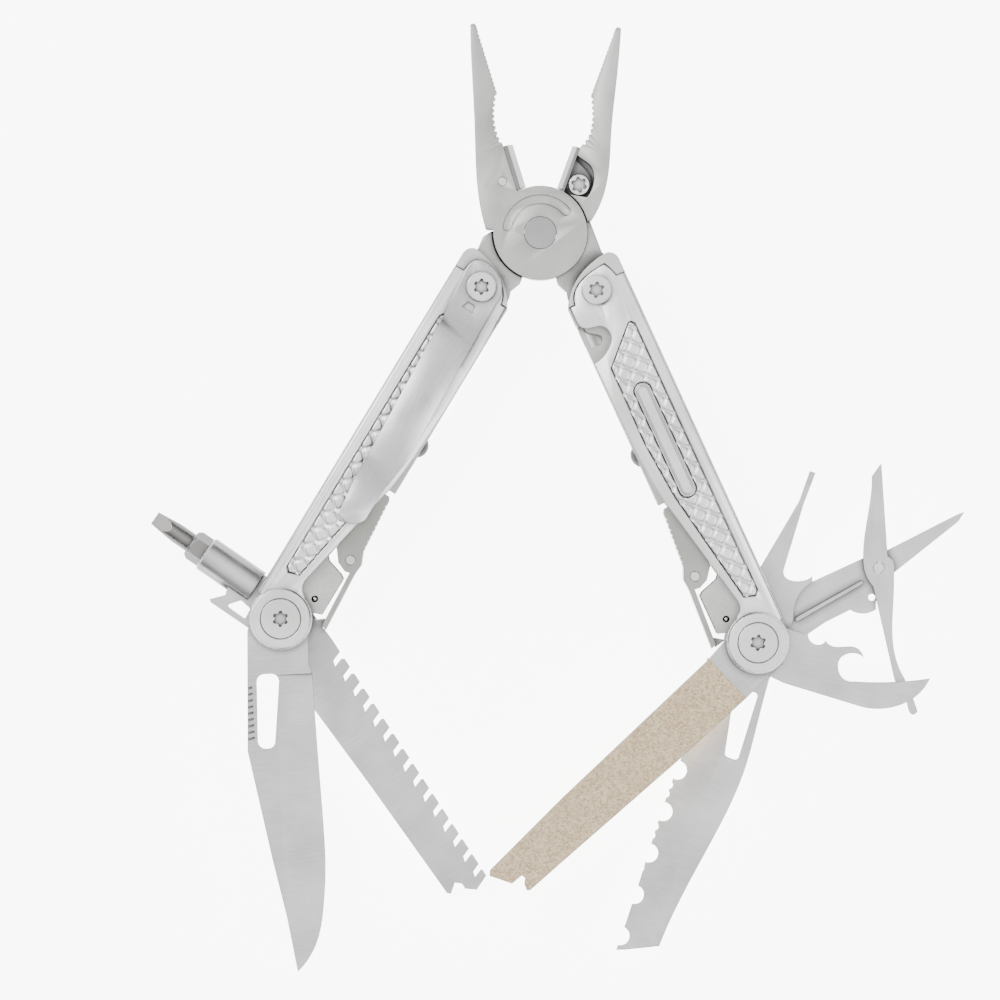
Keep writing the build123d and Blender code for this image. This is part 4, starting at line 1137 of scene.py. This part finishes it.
@dataclass
class Studio:
    """White table, soft lights and the camera, straight above.

    Attributes:
        target: Point of the table in the middle of the view.
        across: Width of the view at the table, in metres.
        height: Height of the camera, in metres.
        horizon: Brightness of the sky at the horizon.
        zenith: Brightness of the sky overhead.
        table_half: Half width of the table, in metres.
        sensor: Width of the camera's sensor, in millimetres.
    """

    target: Vector
    across: float = 0.2333
    height: float = 1.6
    horizon: float = 0.1
    zenith: float = 1.9
    table_half: float = 2.5
    sensor: float = 36.0

    def build(self) -> None:
        """Make the table, the sky, the lights and the camera."""
        self.table()
        self.sky()
        self.light("key_softbox", (-0.55, 0.45, 1.0), 0.55, 9.0)
        self.light("fill_softbox", (0.5, -0.2, 1.1), 0.4, 3.0)
        self.camera()

    def table(self) -> None:
        """Make the table top, with its face at height 0."""
        made = bmesh.new()
        bmesh.ops.create_grid(made, x_segments=8, y_segments=8, size=self.table_half)
        top = settled(made, "table_top")
        dress_in(top, TableFinish("matt_white_table"))

    def sky(self) -> None:
        """Surround the tool with white, darker towards the horizon."""
        world = bpy.data.worlds.new("studio")
        bpy.context.scene.world = world
        world.use_nodes = True
        world.node_tree.nodes.clear()
        wiring = Wiring(world.node_tree)
        coords = wiring.node("ShaderNodeTexCoord")
        parts = wiring.node("ShaderNodeSeparateXYZ")
        wiring.feed(parts.inputs[0], coords.outputs["Generated"])
        glow = wiring.node("ShaderNodeBackground")
        bright = wiring.remap(parts.outputs[2], 0.35, 0.95, self.horizon, self.zenith, smooth=True)
        shade = wiring.node("ShaderNodeCombineColor")
        for socket in shade.inputs:
            wiring.feed(socket, bright)
        wiring.feed(glow.inputs["Color"], shade.outputs[0])
        wiring.feed(glow.inputs["Strength"], 1.0)
        out = wiring.node("ShaderNodeOutputWorld")
        wiring.feed(out.inputs[0], glow.outputs[0])

    def light(self, name: str, place: tuple[float, float, float], size: float, power: float) -> None:
        """Add a square softbox that looks at the tool.

        Args:
            name: Name of the light.
            place: Where it hangs.
            size: Side of the box, in metres.
            power: Watts.
        """
        lamp = bpy.data.lights.new(name, "AREA")
        lamp.size = size
        lamp.energy = power
        owner = placed(name, lamp)
        owner.location = place
        owner.rotation_euler = (self.target - Vector(place)).to_track_quat("-Z", "Y").to_euler()

    def camera(self) -> None:
        """Hang the camera above the target, looking straight down."""
        view = bpy.data.cameras.new("camera")
        view.sensor_width = self.sensor
        view.lens = self.sensor * self.height / self.across
        view.clip_end = 10.0
        owner = placed("camera", view)
        owner.location = self.target + Vector((0.0, 0.0, self.height))
        bpy.context.scene.camera = owner


PIN_STEEL = SteelFinish("bright_pin_steel", roughness=0.3)
DARK_TONE: Colour = (0.20, 0.195, 0.19)
BRIGHT_TONE: Colour = (0.74, 0.74, 0.73)
AXLE_TONE: Colour = (0.55, 0.55, 0.54)


def brushed_steel(name: str, turn: float, colour: Colour, roughness: float,
                  relief: float = SteelFinish.relief) -> SteelFinish:
    """Steel brushed along a direction.

    Args:
        name: Name of the finish.
        turn: Direction of the lines, in degrees.
        colour: Middle tone of the metal.
        roughness: Middle roughness.
        relief: Depth of the lines, in metres.

    Returns:
        The finish.
    """
    return SteelFinish(name, colour, roughness, Grain.BRUSHED, turn, relief=relief)


def turned_steel(name: str, centre: Vector, colour: Colour, roughness: float) -> SteelFinish:
    """Steel turned about a centre.

    Args:
        name: Name of the finish.
        centre: Middle of the rings.
        colour: Middle tone of the metal.
        roughness: Middle roughness.

    Returns:
        The finish.
    """
    return SteelFinish(name, colour, roughness, Grain.TURNED, centre=(centre.x, centre.y))


@dataclass
class PliersHead:
    """Jaws, cutter inserts with their pin and screw, and the pivot rivet.

    Attributes:
        pivot: Centre of the pivot rivet.
    """

    pivot: Vector

    def finishes(self) -> dict[str, Finish]:
        """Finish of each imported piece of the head.

        Returns:
            Finishes by piece name.
        """
        jaws = SteelFinish("blasted_jaw_steel", (0.40, 0.40, 0.39), 0.42, relief=2.2e-5)
        cutter = brushed_steel("ground_cutter_steel", 90.0, DARK_TONE, 0.36)
        return {
            "front_jaw": jaws,
            "rear_jaw": jaws,
            "front_cutter_insert": cutter,
            "rear_cutter_insert": cutter,
            "cutter_pin": PIN_STEEL,
            "pliers_rivet": turned_steel("faced_rivet_steel", self.pivot, (0.33, 0.33, 0.33), 0.4),
            "cutter_screw": SteelFinish("bright_screw_steel", BRIGHT_TONE, 0.24),
        }


@dataclass
class Handle:
    """One handle: frame, scales, bolsters, lock bar, bumper, axles, washers and screws.

    Attributes:
        place: Where the handle lies.
        badged: Whether its panels carry a blank badge.
    """

    place: HandlePlace
    badged: bool

    @property
    def side(self) -> str:
        """Side of the tool that the handle is on."""
        return "left" if self.place.mirrored else "right"

    @property
    def scale_steel(self) -> SteelFinish:
        """Finish of the scales, and of what is raised on them."""
        # The scales get a weaker painted corner shade than the default.
        return SteelFinish(f"{self.side}_scale_steel", BRIGHT_TONE, 0.34, relief=1.4e-5, painted_corner_shade=0.55)

    def finishes(self) -> dict[str, Finish]:
        """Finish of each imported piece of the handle.

        Returns:
            Finishes by piece name.
        """
        side, axle, head = self.side, self.place.axle, self.place.head
        axle_steel = turned_steel(f"{side}_axle_steel", axle, AXLE_TONE, 0.3)
        steel: dict[str, Finish] = {
            "front_scale": self.scale_steel,
            "rear_scale": self.scale_steel,
            "frame": SteelFinish("tumbled_liner_steel", (0.46, 0.46, 0.45), 0.38, Grain.TUMBLED),
            "bolsters": SteelFinish("blasted_bolster_steel", (0.56, 0.56, 0.55), 0.38),
            "lock_bar": brushed_steel(f"{side}_lock_steel", self.place.direction, (0.33, 0.33, 0.31), 0.33),
            "bumper": RubberFinish("black_bumper_rubber"),
            "lock_pins": PIN_STEEL,
            "detent_balls": PIN_STEEL,
            "tool_washers": turned_steel(f"{side}_washer_steel", axle, BRIGHT_TONE, 0.27),
            "tool_screws": turned_steel(f"{side}_tool_screw_steel", axle, (0.70, 0.70, 0.69), 0.3),
            "head_screws": turned_steel(f"{side}_head_screw_steel", head, (0.72, 0.72, 0.71), 0.28),
            "tool_axle": axle_steel,
            "axle_spacers": axle_steel,
            "head_axle": turned_steel(f"{side}_head_axle_steel", head, AXLE_TONE, 0.3),
        }
        return {f"{side}_{part}": finish for part, finish in steel.items()}

    def build(self) -> None:
        """Add the pillowed grip panels and, on a badged handle, the badge rims."""
        body, finish = f"{self.side}_handle", self.scale_steel
        GripPanels(self.place, body, self.badged, finish).build(pillow_tree(finish))
        if self.badged:
            BadgeRims(self.place, body, finish).build(bead_tree(finish))


@dataclass
class FoldOutTools:
    """Outer blades, inner tools, their bushings and the clip, most of them brushed.

    Attributes:
        clip_direction: Direction of the clip, in degrees.
        along: Direction of the lines of the tools brushed along their length, in degrees.
        across: Direction of the tools brushed across their length, in degrees.
    """

    clip_direction: float
    along: dict[str, float] = field(default_factory=lambda: {
        "file_body": -136.2, "can_opener": -12.0, "flat_driver": 72.0, "scissors_fixed_blade": 32.0,
        "scissors_lever": 89.0, "scissors_spring": 32.0, "bit_holder": 145.3})
    across: dict[str, float] = field(default_factory=lambda: {
        "knife_blade": -86.9, "saw_blade": -56.4, "serrated_blade": -110.8})

    def finishes(self) -> dict[str, Finish]:
        """Finish of the clip and of each packed blade and tool.

        Returns:
            Finishes by piece name.
        """
        clip = brushed_steel("satin_clip_steel", self.clip_direction, (0.52, 0.52, 0.52), 0.3, 8e-6)
        steel: dict[str, Finish] = {"pocket_clip": clip}
        turns = {**self.along, **{node: turn + 90.0 for node, turn in self.across.items()}}
        for node, turn in turns.items():
            steel[node] = brushed_steel(f"{node}_steel", turn, (0.50, 0.50, 0.50), 0.34, 9e-6)
        for tool in ("bit_holder", "can_opener", "flat_driver", "scissors"):
            steel[f"{tool}_bushing"] = SteelFinish("bright_sleeve_steel", (0.6, 0.6, 0.59), 0.28)
        steel["scissors_rivet"] = PIN_STEEL
        bit_turn = self.along["bit_holder"]
        steel["screwdriver_bit"] = brushed_steel("dark_bit_steel", bit_turn, DARK_TONE, 0.36)
        steel["diamond_grit"] = GritFinish("diamond_bond")
        return steel


@dataclass
class MultiTool:
    """The whole tool: its pliers head, handles and fold-out tools.

    Attributes:
        rounding: Width of the rounded edges of each piece that has them, in metres.
    """

    frame: dict
    rounding: dict[str, float] = field(default_factory=lambda: {
        "front_jaw": 3.5e-4, "rear_jaw": 3.5e-4, "pocket_clip": 1.2e-4,
        "left_front_scale": 1.0e-4, "right_front_scale": 1.0e-4,
        "left_rear_scale": 1.0e-4, "right_rear_scale": 1.0e-4})

    def __post_init__(self) -> None:
        """Find the head and the handles from their joints."""
        self.pivot = self.joint_place("pliers_squeeze")
        self.left = Handle(HandlePlace(
            self.joint_place("knife_open"), self.joint_place("left_fold"), True), False)
        self.right = Handle(HandlePlace(
            self.joint_place("file_open"), self.joint_place("right_fold"), False), True)

    def joint_place(self, name: str) -> Vector:
        """Point of a named joint.

        Args:
            name: Joint name.

        Returns:
            The joint's point, in metres.
        """
        return next(Vector(joint["pos_m"]) for joint in self.frame["joints"] if joint["name"] == name)

    def build(self) -> None:
        """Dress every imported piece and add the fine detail."""
        finishes = {
            **PliersHead(self.pivot).finishes(), **self.left.finishes(), **self.right.finishes(),
            **FoldOutTools(self.left.place.direction).finishes()}
        for node, finish in finishes.items():
            dress_in(self.frame["nodes"][node], finish)
        SoftenedCopies(self.frame, finishes, self.rounding).build()
        self.left.build()
        self.right.build()
        grit = GritFinish("diamond_grain")
        DiamondFace(self.frame, grit).build(grain_tree(grit))


def main() -> None:
    """Build the scene."""
    logging.basicConfig(level=logging.INFO, format="%(name)s: %(message)s")
    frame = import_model()
    tool = MultiTool(frame)
    tool.build()
    Studio(Vector((tool.pivot.x + AIM_FROM_PIVOT[0], tool.pivot.y + AIM_FROM_PIVOT[1], 0.0))).build()


if __name__ == "__main__":
    main()
